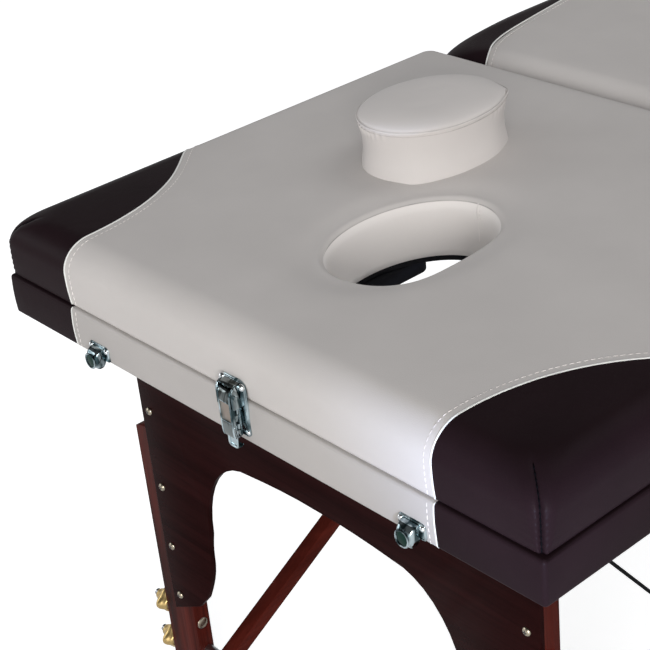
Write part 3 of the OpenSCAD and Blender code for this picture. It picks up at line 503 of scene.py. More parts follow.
def add_bump(tree, shader, *layers):
    """Bumps that add up, each (height, strength, distance)."""
    before = None
    for height, strength, distance in layers:
        node = add_node(tree, "Bump", Height=height, Strength=strength, Distance=distance)
        if before is not None:
            feed(tree, node.inputs["Normal"], before)
        before = node.outputs["Normal"]
    feed(tree, shader.inputs["Normal"], before)


def tint(colour, share, cap=1.0):
    """Colour made darker or lighter."""
    return tuple(min(c * share, cap) for c in colour)


def vinyl(name, colour, roughness=0.46, dark=None, line=None, half="head", painted_lit_wall=None, bends=False):
    """Grained vinyl: fine cells and soft creases as bump, a slight mottle in colour. With a dark vinyl, that is what
    lies outside the line, or outside the first reach of the patch; the hole's wall below its seam takes a paler beige,
    which is painted light on that wall."""
    mat, tree, shader, place = new_material(name, colour, roughness, bends=bends)
    mottle = map_range(tree, noise(tree, place, 9.0, 4.0), 0.3, 0.7)
    light = blend_colour(tree, mottle, tint(colour, 0.965), tint(colour, 1.03))
    fine = add_node(tree, "TexVoronoi", Vector=place, Scale=620.0)
    fine.feature = "DISTANCE_TO_EDGE"
    layers = [(map_range(tree, fine.outputs["Distance"], 0.0, 0.32), 0.10, 0.0004),
              (noise(tree, place, 55.0, 5.0, rough=0.62, distortion=0.6), 0.10, 0.0015)]
    if dark is None:
        uneven = noise(tree, place, 26.0, 3.0)
        feed(tree, shader.inputs["Base Color"], light)
        feed(tree, shader.inputs["Roughness"], map_range(tree, uneven, 0.35, 0.65, roughness - 0.04, roughness + 0.05))
        add_bump(tree, shader, *layers)
        return mat
    x, y, z = add_node(tree, "SeparateXYZ", Vector=place).outputs
    across, bound = math_node(tree, "ABSOLUTE", x), PATCH[1][0] * 0.001
    ends = (y, HEAD_END * 0.001) if half == "head" else (FOOT_END * 0.001, y)
    along = math_node(tree, "SUBTRACT", *ends)
    if line is not None:
        vs, xs = line
        curve = tree.nodes.new("ShaderNodeFloatCurve")
        points = curve.mapping.curves[0].points
        values = [((v - vs[0]) / (vs[-1] - vs[0]), (x - 200) / 200) for v, x in zip(vs, xs)]
        points[0].location, points[1].location = values[0], values[-1]
        for v in values[1:-1]:
            points.new(*v)
        curve.mapping.update()
        feed(tree, curve.inputs["Value"], map_range(tree, along, vs[0] * 0.001, vs[-1] * 0.001))
        bound = math_node(tree, "MULTIPLY_ADD", curve.outputs["Value"], 0.2, 0.2)
    outside = math_node(tree, "SUBTRACT", across, bound)
    mask = map_range(tree, outside, -0.0002, 0.0002)
    deep = blend_colour(tree, mottle, tint(dark, 0.85), tint(dark, 1.18))
    # Painted light: a paler beige on the hole's wall below its seam, for the light on that wall.
    if painted_lit_wall:
        squares = []
        for way, centre, reach in ((x, HOLE[0], HOLE[2]), (along, HOLE[1], HOLE[3])):
            share = math_node(tree, "MULTIPLY_ADD", way, 1000 / reach, -centre / reach)
            squares.append(math_node(tree, "MULTIPLY", share, share))
        inside = map_range(tree, math_node(tree, "ADD", *squares), 1.62, 1.66, 1.0, 0.0)
        seam = (RAIL_LOW + RAIL_HIGH + FOAM - 4.6) * 0.001
        below = map_range(tree, z, seam - 0.0005, seam + 0.0005, 1.0, 0.0)
        light = blend_colour(tree, math_node(tree, "MULTIPLY", inside, below), light, painted_lit_wall)
    feed(tree, shader.inputs["Base Color"], blend_colour(tree, mask, light, deep))
    feed(tree, shader.inputs["Roughness"], math_node(tree, "MULTIPLY_ADD", mask, -0.07, roughness))
    step = map_range(tree, outside, -0.0012, 0.0008, 1.0, 0.0)
    add_bump(tree, shader, (step, 0.8, 0.0012), *layers)
    return mat


def wood(name, dark, light, grain_axis=2, roughness=0.26, gloss=0.03):
    """Lacquered wood: streaks that run along the grain and fine pores."""
    mat, tree, shader, place = new_material(name, dark, roughness, gloss=gloss)

    def grain(across, along):
        """Stretch of a pattern across and along the grain."""
        return [along if k == grain_axis else across for k in range(3)]

    streak = noise(tree, place, 1.0, 6.0, grain(34.0, 1.6), rough=0.6, distortion=0.8)
    fine = noise(tree, place, 1.0, 3.0, grain(420.0, 18.0))
    tone = blend_colour(tree, map_range(tree, streak, 0.32, 0.72), dark, light)
    fleck = blend_colour(tree, map_range(tree, fine, 0.52, 0.75, 0.0, 0.35), tone, tint(dark, 0.45))
    feed(tree, shader.inputs["Base Color"], fleck)
    add_bump(tree, shader, (fine, 0.06, 0.0006))
    return mat


def metal(name, colour, roughness=0.1, wear=0.04):
    """Plated metal with a faint haze and small ripples in its polish."""
    mat, tree, shader, place = new_material(name, colour, roughness, 1.0, 0.5)
    haze = noise(tree, place, 60.0, 4.0)
    shade = map_range(tree, noise(tree, place, 22.0, 2.0), 0.35, 0.65)
    feed(tree, shader.inputs["Roughness"], map_range(tree, haze, 0.35, 0.7, roughness, roughness + wear))
    feed(tree, shader.inputs["Base Color"], blend_colour(tree, shade, tint(colour, 0.9), colour))
    add_bump(tree, shader, (haze, 0.05, 0.0008))
    return mat


def plating_with_painted_reflections(name, deep, bright):
    """Polished plating with painted reflections: dark and bright streaks, as its small curved faces show in a room."""
    mat, tree, shader, place = new_material(name, bright, 0.08, 1.0, 0.5)
    # Painted reflections: noise streaks that mix the dark and the bright tone in the colour.
    streak = noise(tree, place, 85.0, 2.0, [1.0, 1.0, 0.45], distortion=0.9)
    feed(tree, shader.inputs["Base Color"], blend_colour(tree, map_range(tree, streak, 0.44, 0.60), deep, bright))
    add_bump(tree, shader, (noise(tree, place, 60.0, 2.0), 0.08, 0.0012))
    return mat


def matt(name, colour, roughness=0.75, scale=300.0):
    """Matt surface with a fine tooth and a slight mottle."""
    mat, tree, shader, place = new_material(name, colour, roughness)
    mottle = map_range(tree, noise(tree, place, 30.0, 3.0), 0.3, 0.7)
    feed(tree, shader.inputs["Base Color"], blend_colour(tree, mottle, tint(colour, 0.8), tint(colour, 1.2)))
    add_bump(tree, shader, (noise(tree, place, scale, 2.0), 0.15, 0.0005))
    return mat


PAINTS = {}


def paint(name):
    """Material by its plain name, made on first use from the colours of the scene."""
    if name in PAINTS:
        return PAINTS[name]
    look = bpy.context.scene.table_look
    beige, brown, cream, mahogany, redwood, brass = (tuple(getattr(look, key)) for key in COLOURS)
    makers = {
        # The pale (0.84, 0.80, 0.77) is painted light on the hole's wall.
        "first_cushion": (vinyl, beige, 0.46, brown, PATCH, "head", (0.84, 0.80, 0.77), True),
        "second_cushion": (vinyl, beige, 0.46, brown, STRIP),
        "foot_cushion": (vinyl, beige, 0.46, brown, PATCH, "foot"),
        # Painted shade: the bands' beige is darkened to 0.8 of the cushions' beige.
        "head_band": (vinyl, tint(beige, 0.80), 0.46, brown),
        "cream": (vinyl, cream, 0.42),
        # Painted highlight: the folded edge's beige is lighter than the beige vinyl, for the light along the fold.
        "folded_edge": (vinyl, tint(beige, 1.5, 0.85), 0.5),
        "dark_vinyl": (vinyl, brown, 0.4),
        "light_thread": (matt, tint(beige, 1.35, 0.85), 0.6),
        "seam_thread": (matt, tint(beige, 0.78), 0.7),
        "plug_thread": (matt, tint(cream, 0.8), 0.6),
        # Near black: dark thread of the darts, and painted shade of the seam's groove.
        "dark_thread": (matt, (0.003, 0.003, 0.004), 0.6),
        "board": (matt, (0.012, 0.012, 0.014), 0.55),
        "rubber": (matt, (0.02, 0.02, 0.021), 0.8),
        "cable": (matt, (0.006, 0.006, 0.007), 0.5, 900.0),
        "panel_wood": (wood, mahogany, tint(mahogany, 2.4), 0, 0.26, 0.012),
        "post_wood": (wood, tint(mahogany, 1.3), tint(redwood, 1.35)),
        "red_wood": (wood, tint(redwood, 0.5), redwood, 1),
        "plain_wood": (wood, (0.18, 0.10, 0.055), (0.33, 0.21, 0.12), 1, 0.5),
        # The chrome's colour carries painted reflections in dark and bright streaks.
        "chrome": (plating_with_painted_reflections, (0.05, 0.085, 0.095), (0.60, 0.71, 0.75)),
        # Painted shade: a darker copy of the chrome with dark reflections painted in, for the latch's hood and lever
        # front.
        "dark_chrome": (plating_with_painted_reflections, (0.035, 0.04, 0.038), (0.24, 0.27, 0.27)),
        # Painted reflection: the chrome of the locator fronts in a dark teal, for the dark room that they mirror.
        "deep_chrome": (metal, (0.016, 0.055, 0.043), 0.16),
        "pale_plate": (metal, (0.46, 0.39, 0.34), 0.42, 0.08),
        "screw": (metal, (0.50, 0.44, 0.34), 0.22, 0.1),
        "rivet": (metal, (0.86, 0.90, 0.92), 0.12, 0.05),
        "steel": (metal, (0.50, 0.51, 0.53), 0.26, 0.12),
        "brass": (metal, brass, 0.24, 0.12),
        "bolt": (metal, (0.10, 0.10, 0.11), 0.35, 0.1),
    }
    maker, *values = makers[name]
    PAINTS[name] = maker(name, *values)
    return PAINTS[name]


# Frame pieces

def body_of_node(node):
    """Body that a CAD node belongs to, by the record."""
    for body, nodes in frame["record"]["behaviour"]["bodies"].items():
        if node in nodes:
            return body
    raise ValueError("no body holds " + node)


def eased(node, material, width=0.9, angle=32, segments=2):
    """Copy of a CAD node with its edges eased by a small bevel, which stands for the node."""
    mesh = frame["nodes"][node].data.copy()
    bm = bmesh.new()
    bm.from_mesh(mesh)
    bmesh.ops.remove_doubles(bm, verts=bm.verts, dist=1e-5)
    bmesh.ops.dissolve_limit(bm, angle_limit=math.radians(1.5), verts=bm.verts, edges=bm.edges)
    bmesh.ops.recalc_face_normals(bm, faces=bm.faces)
    bm.to_mesh(mesh)
    bm.free()
    obj = new_object(node + "_eased", mesh)
    mesh.materials.clear()
    mesh.materials.append(paint(material))
    mesh.shade_smooth()
    bevel = obj.modifiers.new("ease", "BEVEL")
    bevel.width = width * 0.001
    bevel.segments = segments
    bevel.limit_method = "ANGLE"
    bevel.angle_limit = math.radians(angle)
    bevel.harden_normals = True
    bevel.use_clamp_overlap = True
    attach(obj, body_of_node(node))
    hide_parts(node)
    return obj


def repaint(*nodes, material):
    """Gives CAD nodes that stay their finish."""
    for node in nodes:
        mesh = frame["nodes"][node].data
        mesh.materials.clear()
        mesh.materials.append(paint(material))


def ride(obj, body, *nodes, slot=None):
    """Puts a piece on its body, for the CAD nodes that it stands for."""
    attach(obj, body)
    if nodes:
        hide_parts(*nodes)
    return obj


# Soft pieces

def hold_places(obj):
    """Keeps the place of each point at rest as an attribute, on which the material lays its pattern."""
    places = np.empty(len(obj.data.vertices) * 3, np.float32)
    obj.data.vertices.foreach_get("co", places)
    obj.data.attributes.new("rest_place", "FLOAT_VECTOR", "POINT").data.foreach_set("vector", places)


def add_cushions():
    """The cushions: the first has the face hole."""
    dips = [(s * HALF_X, SEAM_V, 10.0, 75.0) for s in (1, -1)]
    first = cushion_shape(FIRST, (TIGHT, TIGHT, NEAR, NEAR), hole=True, darts=DARTS)
    second = cushion_shape(SECOND, (TIGHT, TIGHT, WIDE, WIDE), dips=dips)
    foot = cushion_shape(FOOT, (TIGHT, TIGHT, NEAR, NEAR), darts=DARTS)
    obj = build("first_cushion", [first], "first_cushion")
    hold_places(obj)
    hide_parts("backrest_cushion", "backrest_heel")
    start, end = to_row([(0, SEAM_V, 60), (0, SEAM_V - 60, 60)], "head")
    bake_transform(obj)
    for name, shape, look, half in (("second_cushion", second, "second_cushion", "head"),
                                    ("foot_cushion_cover", foot, "foot_cushion", "foot")):
        obj = build(name, [shape], look, half)
        ride(obj, half + "_frame", half + "_cushion", slot="beige_vinyl")


def sew(name, edge, body, half, edges, threads, radius, step):
    """Folded edges of the light vinyl and their topstitches, each along its paths with their normals."""
    tubes = []
    for path, normal in edges:
        p, n = resample(path, normal, step)
        tubes.append(tube(p, radius, 8, n, scale=(1.0, 0.7)))
    # The folded edges carry a painted highlight in their lighter beige.
    piece(name + edge, tubes, "folded_edge", body, half=half)
    piece(name + "_topstitch", [stitches(*pair) for pair in threads], "light_thread", body, half=half)


def add_cushion_seams():
    """Folded edge of the light vinyl and its topstitch on each cushion, and the seams of the darts."""
    jobs = [("first", "head", "backrest", PATCH, FIRST), ("second", "head", "head_frame", STRIP, SECOND),
            ("foot", "foot", "foot_frame", PATCH, FOOT)]
    for name, half, body, line, span in jobs:
        edges, threads = [[line_on_top(line, span, side, shift, name == "second") for side in (1, -1)]
                          for shift in (0.0, 7.5)]
        sew(name, "_folded_edge", body, half, edges, threads, 1.0, 3.0)
    index = np.linspace(0, len(PROFILE) - 1, 40)
    inset, w = read_off(index, np.arange(len(PROFILE)), PROFILE).T
    d = inset + corner_radius(NEAR, inset, w) * (1 - math.sqrt(0.5))
    keep = d < 27
    lean = dart_lean(d * math.sqrt(2)) / math.sqrt(2)
    up = np.clip(inset / RUN, 0, 1)
    for name, half, body in (("first", "head", "backrest"), ("foot", "foot", "foot_frame")):
        shapes = []
        for side in (1, -1):
            path = np.stack([side * (HALF_X - d - lean), d - lean, w + RAIL_HIGH], axis=-1)[keep]
            path = sewn_in(path, DARTS, 0.8)
            normal = np.stack([side * (1 - up), -(1 - up), 0.3 + up], axis=-1)[keep]
            shapes += [tube(path, 0.4, 6, normal), stitches(path, normal, length=3.4, radius=0.62)]
        # The dart's cord and stitches are near black: dark thread, and painted shade of its groove.
        piece(name + "_dart_thread", shapes, "dark_thread", body, half=half)
    add_hole_seams()


def on_lip(turn, grow):
    """Point of the hole's lip at a turn, grown from the wall."""
    a = np.arcsin(np.clip(1 - grow / LIP, 0, 1))
    brim = HOLE[0] + (HOLE[2] + LIP) * np.cos(turn), HOLE[1] + (HOLE[3] + LIP) * np.sin(turn)
    high = TOP + RAIL_HIGH + crown_height(*brim, FIRST) - SINK
    x, v = (HOLE[2] + grow) * np.cos(turn), (HOLE[3] + grow) * np.sin(turn)
    way = np.arctan2(v, x)
    x, v = HOLE[0] + x + hole_full(way) * np.cos(way), HOLE[1] + v + hole_full(way) * np.sin(way)
    return np.stack([x, v, high - LIP_DROP * (1 - np.cos(a))], axis=-1)


def add_hole_seams():
    """Seam round the far part of the hole's lip, and the stitched seam down its wall."""
    turn = np.radians(np.linspace(62, 232, 120))
    out = np.stack([np.cos(turn), np.sin(turn), np.ones(120)], axis=-1)
    size = 0.42 * np.clip(np.sin(np.linspace(0, np.pi, 120)) * 4, 0.25, 1)
    piece("hole_seam", [tube(on_lip(turn, np.full(120, 2.6)), size, 6, out)], "seam_thread", "backrest")
    a = math.radians(93)
    path = on_lip(np.full(26, a), np.concatenate([np.linspace(3.0, 0.0, 14), np.zeros(12)]))
    path[14:, 2] = path[13, 2] - np.linspace(3, 38, 12)
    wall = 2.2 * np.sin(np.clip((path[13, 2] - path[:, 2]) / (path[13, 2] - RAIL_HIGH), 0, 1) * np.pi)
    path += np.outer(wall, (math.cos(a), math.sin(a), 0))
    normal = np.tile((-math.cos(a), -math.sin(a), 0.4), (26, 1))
    aside = np.array([-math.sin(a), math.cos(a), 0]) * 3.4
    p, n = resample(path, normal, 2.0)
    shapes = [tube(p, 0.6, 6, n), stitches(path - aside, normal, 3.0, 1.4, 0.3)]
    piece("hole_wall_seam", shapes, "light_thread", "backrest")


# Plug: half its width and length
PLUG = (65.0, 79.0)


def plug_outline(turn, inset, level):
    """Oval of the plug, drawn in by inset, with a tucked corner and, low down, a soft one. Level runs from 0 to 1."""
    tuck = 4.6 * np.exp(-np.abs(apart(turn, 57) / 11) ** 1.5)
    low = 6.0 * (1 - level) ** 2 * np.exp(-np.abs(apart(turn, 305) / 17) ** 1.4)
    flat = 3.2 * np.exp(-(apart(turn, 5) / 30) ** 2)
    grow = (tuck + low - flat) * np.clip(1 - inset / 26, 0, 1) ** 1.5
    return (PLUG[0] - inset + grow) * np.cos(turn), (PLUG[1] - inset + grow) * np.sin(turn)


def add_plug_cushion():
    """Loose plug cushion: drawn-in waist, piped seam, soft crown, and small folds under one end of the seam."""
    low, far = (np.array(p) * 1000 - (0, HEAD_END, RAIL_LOW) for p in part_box("hole_plug"))
    cx, cv = ((low + far) / 2)[:2]
    high = bpy.context.scene.table_sizes.plug_height * 1000
    turn = full_turn(320)
    seam = high - 10.0
    rings = [(14.0, 0.0), (3.2, 0.1), (1.4, 0.9)]
    rings += [(0.6 + 3.4 * math.sin(math.pi * k ** 0.9) ** 1.3 + 0.9 * (1 - k) ** 4, 2.2 + (seam - 2.2) * k)
              for k in np.linspace(0, 1, 26)]
    rings += [(1.0 + 44 * (1 - math.cos(k)), seam + 0.9 + 8.4 * math.sin(k))
              for k in np.linspace(0.05, 1, 16) * np.pi / 2]
    rings += [(45.0 + 19.0 * k, high - 0.7 + 0.7 * math.sin(k * math.pi / 2)) for k in np.linspace(0.12, 1, 9)]
    inset, up = np.array(rings).T[:, :, None]
    x, v = plug_outline(turn, inset, np.clip(up / seam, 0, 1))
    ends = np.exp(-(apart(turn, 250) / 29) ** 2) + 0.6 * np.exp(-(apart(turn, 38) / 17) ** 2)
    under = np.exp(-((seam - 4.5 - up) / 4.2) ** 2)
    fold = 1.3 * np.sin(turn * 58 + 1.2 * np.sin(turn * 7)) * ends * under
    crease = -1.3 * np.exp(-(apart(turn, 54) / 1.6) ** 2)
    fold = fold + crease * np.clip((up - 4) / 12, 0, 1) * (up < seam + 3)
    x, v = x + fold * np.cos(turn), v + fold * np.sin(turn)
    shape = skin(np.stack([x + cx, v + cv, up + low[2] + 0.1 + np.zeros_like(x)], axis=-1))
    obj = build("plug_cushion", [shape], "cream")
    ride(obj, "hole_plug", "hole_plug", slot="cream_vinyl")

    def round_it(inset, height, radius):
        """Cord round the plug's outline."""
        x, v = plug_outline(turn, inset, 1.0)
        path = np.stack([x + cx, v + cv, np.full(len(turn), height + low[2])], axis=-1)
        out = np.stack([np.cos(turn), np.sin(turn), np.zeros(len(turn))], axis=-1)
        return tube(path, radius, 8, out, closed=True)

    piece("plug_piping", [round_it(0.4, seam + 0.5, 1.0)], "cream", "hole_plug")
    threads = [round_it(0.35, seam + 1.6, 0.34), round_it(0.4, seam - 2.6, 0.24)]
    piece("plug_seam", threads, "plug_thread", "hole_plug")


# Wrapped rail: height, thickness, radius of its edges, how full its middle is, and its corner in plan
BAND_HIGH = RAIL_HIGH - 3.0
BAND_THICK = 18.0
BAND_EDGE = 3.2
BAND_FULL = 0.7
BAND_CORNER = 4.0


def band_shape(half_length):
    """Vinyl-wrapped band round three sides: a rounded section, a little full at its middle, carried along the rails
    and round two tight corners."""
    r, thick, high = BAND_EDGE, BAND_THICK, BAND_HIGH
    corners = [((r, r), np.pi), ((thick - r, r), -np.pi / 2), ((thick - r, high - r), 0.0), ((r, high - r), np.pi / 2)]
    section = [(ci + r * math.cos(a0 + k), cw + r * math.sin(a0 + k))
               for (ci, cw), a0 in corners for k in np.linspace(0, np.pi / 2, 6)]
    section += [(-BAND_FULL * math.sin(math.pi * k), high - r - (high - 2 * r) * k) for k in np.linspace(0, 1, 9)[1:-1]]
    inset, level = np.array(section).T[:, None, :]
    corner = np.maximum(BAND_CORNER - inset, 0.25)
    bend = np.linspace(0, np.pi / 2, 7)[:, None]
    side_v = corner + inset + (half_length - corner - inset) * np.linspace(1, 0, 20)[:, None]
    side_x = (HALF_X - inset) * np.ones_like(side_v)
    arc_x = (HALF_X - inset - corner) + corner * np.cos(bend)
    arc_v = (inset + corner) - corner * np.sin(bend)
    front_x = (HALF_X - inset - corner) * np.linspace(1, -1, 40)[1:-1][:, None]
    front_v = inset * np.ones_like(front_x)
    x = np.concatenate([side_x, arc_x, front_x, -arc_x[::-1], -side_x[::-1]])
    v = np.concatenate([side_v, arc_v, front_v, arc_v[::-1], side_v[::-1]])
    return skin(np.stack([x, v, np.repeat(level, len(x), axis=0)], axis=-1))


def add_bands():
    """Wrapped rails of both halves, the rail at the fold, and the seams where the two vinyls meet."""
    r = BAND_EDGE
    level = np.concatenate([[0.4, 1.4], np.linspace(r, BAND_HIGH - r, 12), [BAND_HIGH - 1.4, BAND_HIGH - 0.2]])
    past = np.maximum(np.maximum(r - level, level - BAND_HIGH + r), 0)
    bulge = -BAND_FULL * np.sin(np.pi * np.clip((level - r) / (BAND_HIGH - 2 * r), 0, 1))
    inset = np.where(past > 1e-9, r - np.sqrt(r ** 2 - past ** 2), bulge)
    normal = np.tile([0.0, -1.0, 0.0], (len(level), 1))
    inner = HALF_X - 18.3
    for half in ("head", "foot"):
        body = half + "_frame"
        # The band's vinyl carries painted shade: its beige is darker than the cushions'.
        piece(half + "_band", [band_shape(HALF_L - 0.3)], "head_band", body, half + "_end_rail", half + "_rails",
              slot="beige_vinyl", half=half, crease=60)
        fold = block((-inner, HALF_L - 20, 0), (inner, HALF_L - 0.3, RAIL_HIGH), 2.0, 3)
        piece(half + "_fold_rail", [fold], "dark_vinyl", body, half=half, crease=35, merge=0.001)
        paths = [np.stack([side * (PATCH[1][0] + 0.5 * np.sin(level / 9 + side)), inset, level], axis=-1)
                 for side in (1, -1)]
        threads = [(path - (side * 7.0, 0, 0), normal) for path, side in zip(paths, (1, -1))]
        sew(half + "_band", "_edge", body, half, [(path, normal) for path in paths], threads, 0.8, 2.0)


# Latch and locators

def strip(path, x0, x1, thick, r=0.55):
    """Flat strip bent along a path of (out, up): a rounded rectangle carried along it."""
    path = np.asarray(path, float)
    t = unit(np.gradient(path, axis=0))
    hx, ht = (x1 - x0) / 2, thick / 2
    r = min(r, ht * 0.95, hx * 0.95)
    turns = [k * np.pi / 2 + np.linspace(0, np.pi / 2, 4) for k in range(4)]
    across = np.concatenate([s * (hx - r) + r * np.cos(a) for s, a in zip((1, -1, -1, 1), turns)])
    level = np.concatenate([s * (ht - r) + r * np.sin(a) for s, a in zip((1, 1, -1, -1), turns)])
    out = path[:, :1] + t[:, 1:] * level
    up = path[:, 1:] - t[:, :1] * level
    return skin(np.stack([(x0 + x1) / 2 + across + np.zeros_like(out), -out, up], axis=-1))


def rivet(x, out, w, radius=3.6, height=2.3):
    """Round rivet head standing out from a plate."""
    return turned(dome_profile(radius, height, foot=0.2), (x, -out, w))


def panel(line, out0, out1, r=0.6):
    """Plate with a rounded edge: an outline of (across, up) drawn in over its front edge, from out0 to out1."""
    step = unit(np.roll(line, -1, axis=0) - np.roll(line, 1, axis=0))
    inward = np.stack([-step[:, 1], step[:, 0]], axis=-1)
    a = np.linspace(0, np.pi / 2, 4)
    depth = np.concatenate([[0.0], r * (1 - np.cos(a))])
    out = np.concatenate([[out0], out1 - r + r * np.sin(a)])
    across, up = np.moveaxis(line + inward * depth[:, None, None], -1, 0)
    return skin(np.stack([across, -out[:, None] + np.zeros_like(up), up], axis=-1))


def round_outline(x0, x1, w0, w1, low, high):
    """Upright rectangle with round corners, run anticlockwise: one radius below and one above."""
    centres = [(x1 - high, w1 - high, high), (x0 + high, w1 - high, high), (x0 + low, w0 + low, low),
               (x1 - low, w0 + low, low)]
    turns = [k * np.pi / 2 + np.linspace(0, np.pi / 2, 8) for k in range(4)]
    return np.concatenate([np.stack([cx + r * np.cos(a), cw + r * np.sin(a)], axis=-1)
                           for (cx, cw, r), a in zip(centres, turns)])


def bead(line, out, radius, inset=0.0):
    """Raised round bead along an outline on a plate."""
    step = unit(np.roll(line, -1, axis=0) - np.roll(line, 1, axis=0))
    path = np.column_stack([line[:, 0] - step[:, 1] * inset, np.full(len(line), -out), line[:, 1] + step[:, 0] * inset])
    return tube(path, radius, 8, (0.0, -1.0, 0.0), closed=True)


def add_latch():
    """Draw latch near the middle of the end rail: pressed base with rivets, cheeks and hood, the lever and the claw."""
    plate = {"dx": HARDWARE_X, "crease": 40}
    outline = round_outline(-17.8, 15.5, 7.5, 62.5, 5.0, 8.0)
    base, rivets = [panel(outline, 0.02, 1.7, 0.7), bead(outline, 1.7, 0.9, 1.6)], []
    for s in (1, -1):
        pts, faces = panel(round_outline(1.2, 13.0, 38.0, 60.6, 2.0, 7.5), s * 9.9 - 0.8, s * 9.9 + 0.8, 0.5)
        base.append((pts[:, [1, 0, 2]] * (-1, -1, 1), faces))
        rivets += [rivet(12.4 * s - 1.2, 1.6, 57.6 - s, 3.8, 3.6), rivet(s * 12.4, 1.6, 12.6, 2.8, 2.0)]
    hood = strip(smooth_path([(1.4, 60.2), (5.0, 60.2), (8.0, 59.9), (10.4, 59.2)], 16), -8.8, 9.4, 1.3)
    base.append(pin((11.6, 1.2), (11.3, 2.2), 9, 49.5))
    piece("latch_plate", base, "chrome", "head_frame", "latch_base", slot="chrome", **plate)
    # The hood takes the darker chrome: painted dark reflections.
    piece("latch_hood", [hood], "dark_chrome", "head_frame", **plate)
    piece("latch_rivets", rivets, "rivet", "head_frame", dx=HARDWARE_X, crease=50)
    full = smooth_path([(6.2, 54.2), (8.6, 55.2), (11.2, 54.2), (12.8, 51.6), (13.2, 47.5), (13.2, 40), (13.0, 26),
                        (12.8, 16), (12.4, 11.6), (11.4, 9.0)], 60)
    w = full[:, 1]
    rim = full + (0.15, 0.0)
    front = [strip(full[w > 43.6], -7.6, 7.6, 1.5), strip(full[w < 24.6], -7.6, 7.6, 1.5)]
    parts = [strip(rim, -8.0, -6.6, 2.0, 0.6), strip(rim, 6.4, 8.4, 2.4, 0.9), pin((8.7, 0.9), (8.6, 1.5), 9.3, 27, 16),
             block((-7.4, -13.9, 43.0), (7.4, -12.2, 44.4), 0.5), block((-7.4, -13.9, 23.6), (7.4, -12.2, 25.0), 0.5)]
    bars = [(-12.6, -9.9, 10.0, 50.0, 0.5), (-6.2, -4.4, 10.0, 52.0, 0.5), (-10.4, -5.8, 9.4, 16.5, 0.4),
            (-10.4, -5.8, 27.0, 31.0, 0.4), (-10.4, -5.8, 41.0, 52.4, 0.4)]
    parts += [block((x - 0.7, v0, w0), (x + 0.7, v1, w1), r) for x in (7.7, -7.7) for v0, v1, w0, w1, r in bars]
    piece("latch_lever_plate", parts, "chrome", "latch_lever", "latch_lever", slot="chrome", **plate)
    face = block((-6.7, -13.0, 24.2), (6.7, -12.0, 43.6), 0.3)
    piece("latch_lever_face", [face], "pale_plate", "latch_lever", **plate)
    # The lever's front strips take the darker chrome: painted dark reflections.
    piece("latch_lever_front", front, "dark_chrome", "latch_lever", **plate)
    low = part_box("latch_claw")[0][2] * 1000 - RAIL_LOW + 4.0
    leg = [(5.6, -9.3, 25.5), (5.6, -9.3, low + 6), (5.4, -9.2, low + 2.2), (3.4, -9.0, low + 1.2)]
    wire = smooth_path([(-x, v, w) for x, v, w in leg] + leg[::-1], 70)
    lip = smooth_path([(9.6, low + 3.4), (9.0, low + 1.2), (6.2, low + 0.7), (3.6, low + 1.1), (2.9, low + 2.2)], 16)
    claw = [tube(wire, 1.2, 12, (0.0, -1.0, 0.0)), block((-5.0, -9.8, low + 1.5), (5.0, -8.6, 26.0), 0.5),
            pin((6.6, 1.7), (6.5, 2.4), 9.3, 27), strip(lip, -5.0, 5.0, 1.3)]
    piece("latch_claw_wire", claw, "chrome", "latch_claw", "latch_claw", slot="chrome", **plate)


# Sections of a locator's hook: height, reach out, half width, and reach of its back
HOOK = [(15.4, 1.8, 7.4, 0.2), (15.2, 4.0, 8.2, 0.2), (14.9, 6.4, 8.6, 0.2), (13.6, 9.4, 8.8, 0.2),
        (10.5, 12.0, 8.8, 0.2), (6.5, 13.0, 8.5, 0.2), (2.5, 12.8, 8.0, 0.6), (-1.0, 11.6, 7.3, 1.6),
        (-4.0, 9.6, 6.2, 3.0), (-5.8, 7.6, 4.6, 4.4), (-6.2, 6.0, 2.8, 5.0)]


def tongue(centre):
    """Hook of a locator: boxy sections, each a half circle with its sine and cosine raised to a power, that bulge out
    and taper below the rail."""
    rows = read_off(np.linspace(0, len(HOOK) - 1, 36), np.arange(len(HOOK)), np.array(HOOK))
    for row in rows.T:
        row[1:-1] = (row[:-2] + 2 * row[1:-1] + row[2:]) / 4
    w, out, half, back = rows.T[:, :, None]
    a = np.linspace(0, np.pi, 29)
    c, n = np.cos(a), np.sin(a)
    x = centre + half * (np.sign(c) * np.abs(c) ** 0.42)
    return skin(np.stack([x, -back - (out - back) * np.abs(n) ** 0.36, w + np.zeros_like(x)], axis=-1))


def add_locators():
    """Two locator hooks on the end rail, each a plate with rivets at its upper corners and a hollow hook."""
    parts, fronts, rivets = [], [], []
    turn = full_turn(48)
    c, s = np.cos(turn), np.sin(turn)
    front = np.column_stack([6.4 * np.sign(c) * np.abs(c) ** 0.7, 4.6 + 6.6 * s])
    for c in (-208.5, 208.5):
        outline = round_outline(c - 15, c + 15, 2.0, 17.5, 2.5, 4.0)
        oval = front + (c, 0)
        parts += [panel(outline, 0.02, 1.7, 0.7), bead(outline, 1.5, 0.7, 1.2), tongue(c), bead(oval, 13.0, 0.9, -0.4)]
        rivets += [rivet(c + d * 11.8, 1.6, 13.4, 2.9, 2.4) for d in (-1, 1)]
        fronts.append(panel(oval, 9.0, 13.1, 0.4))
    place = {"dx": HARDWARE_X}
    piece("locator_hooks", parts, "chrome", "head_frame", "locators", slot="chrome", crease=42, **place)
    # The hooks' fronts are chrome painted dark teal: a painted reflection.
    piece("locator_fronts", fronts, "deep_chrome", "head_frame", crease=42, **place)
    piece("locator_rivets", rivets, "rivet", "head_frame", crease=50, **place)


# Legs and hardware

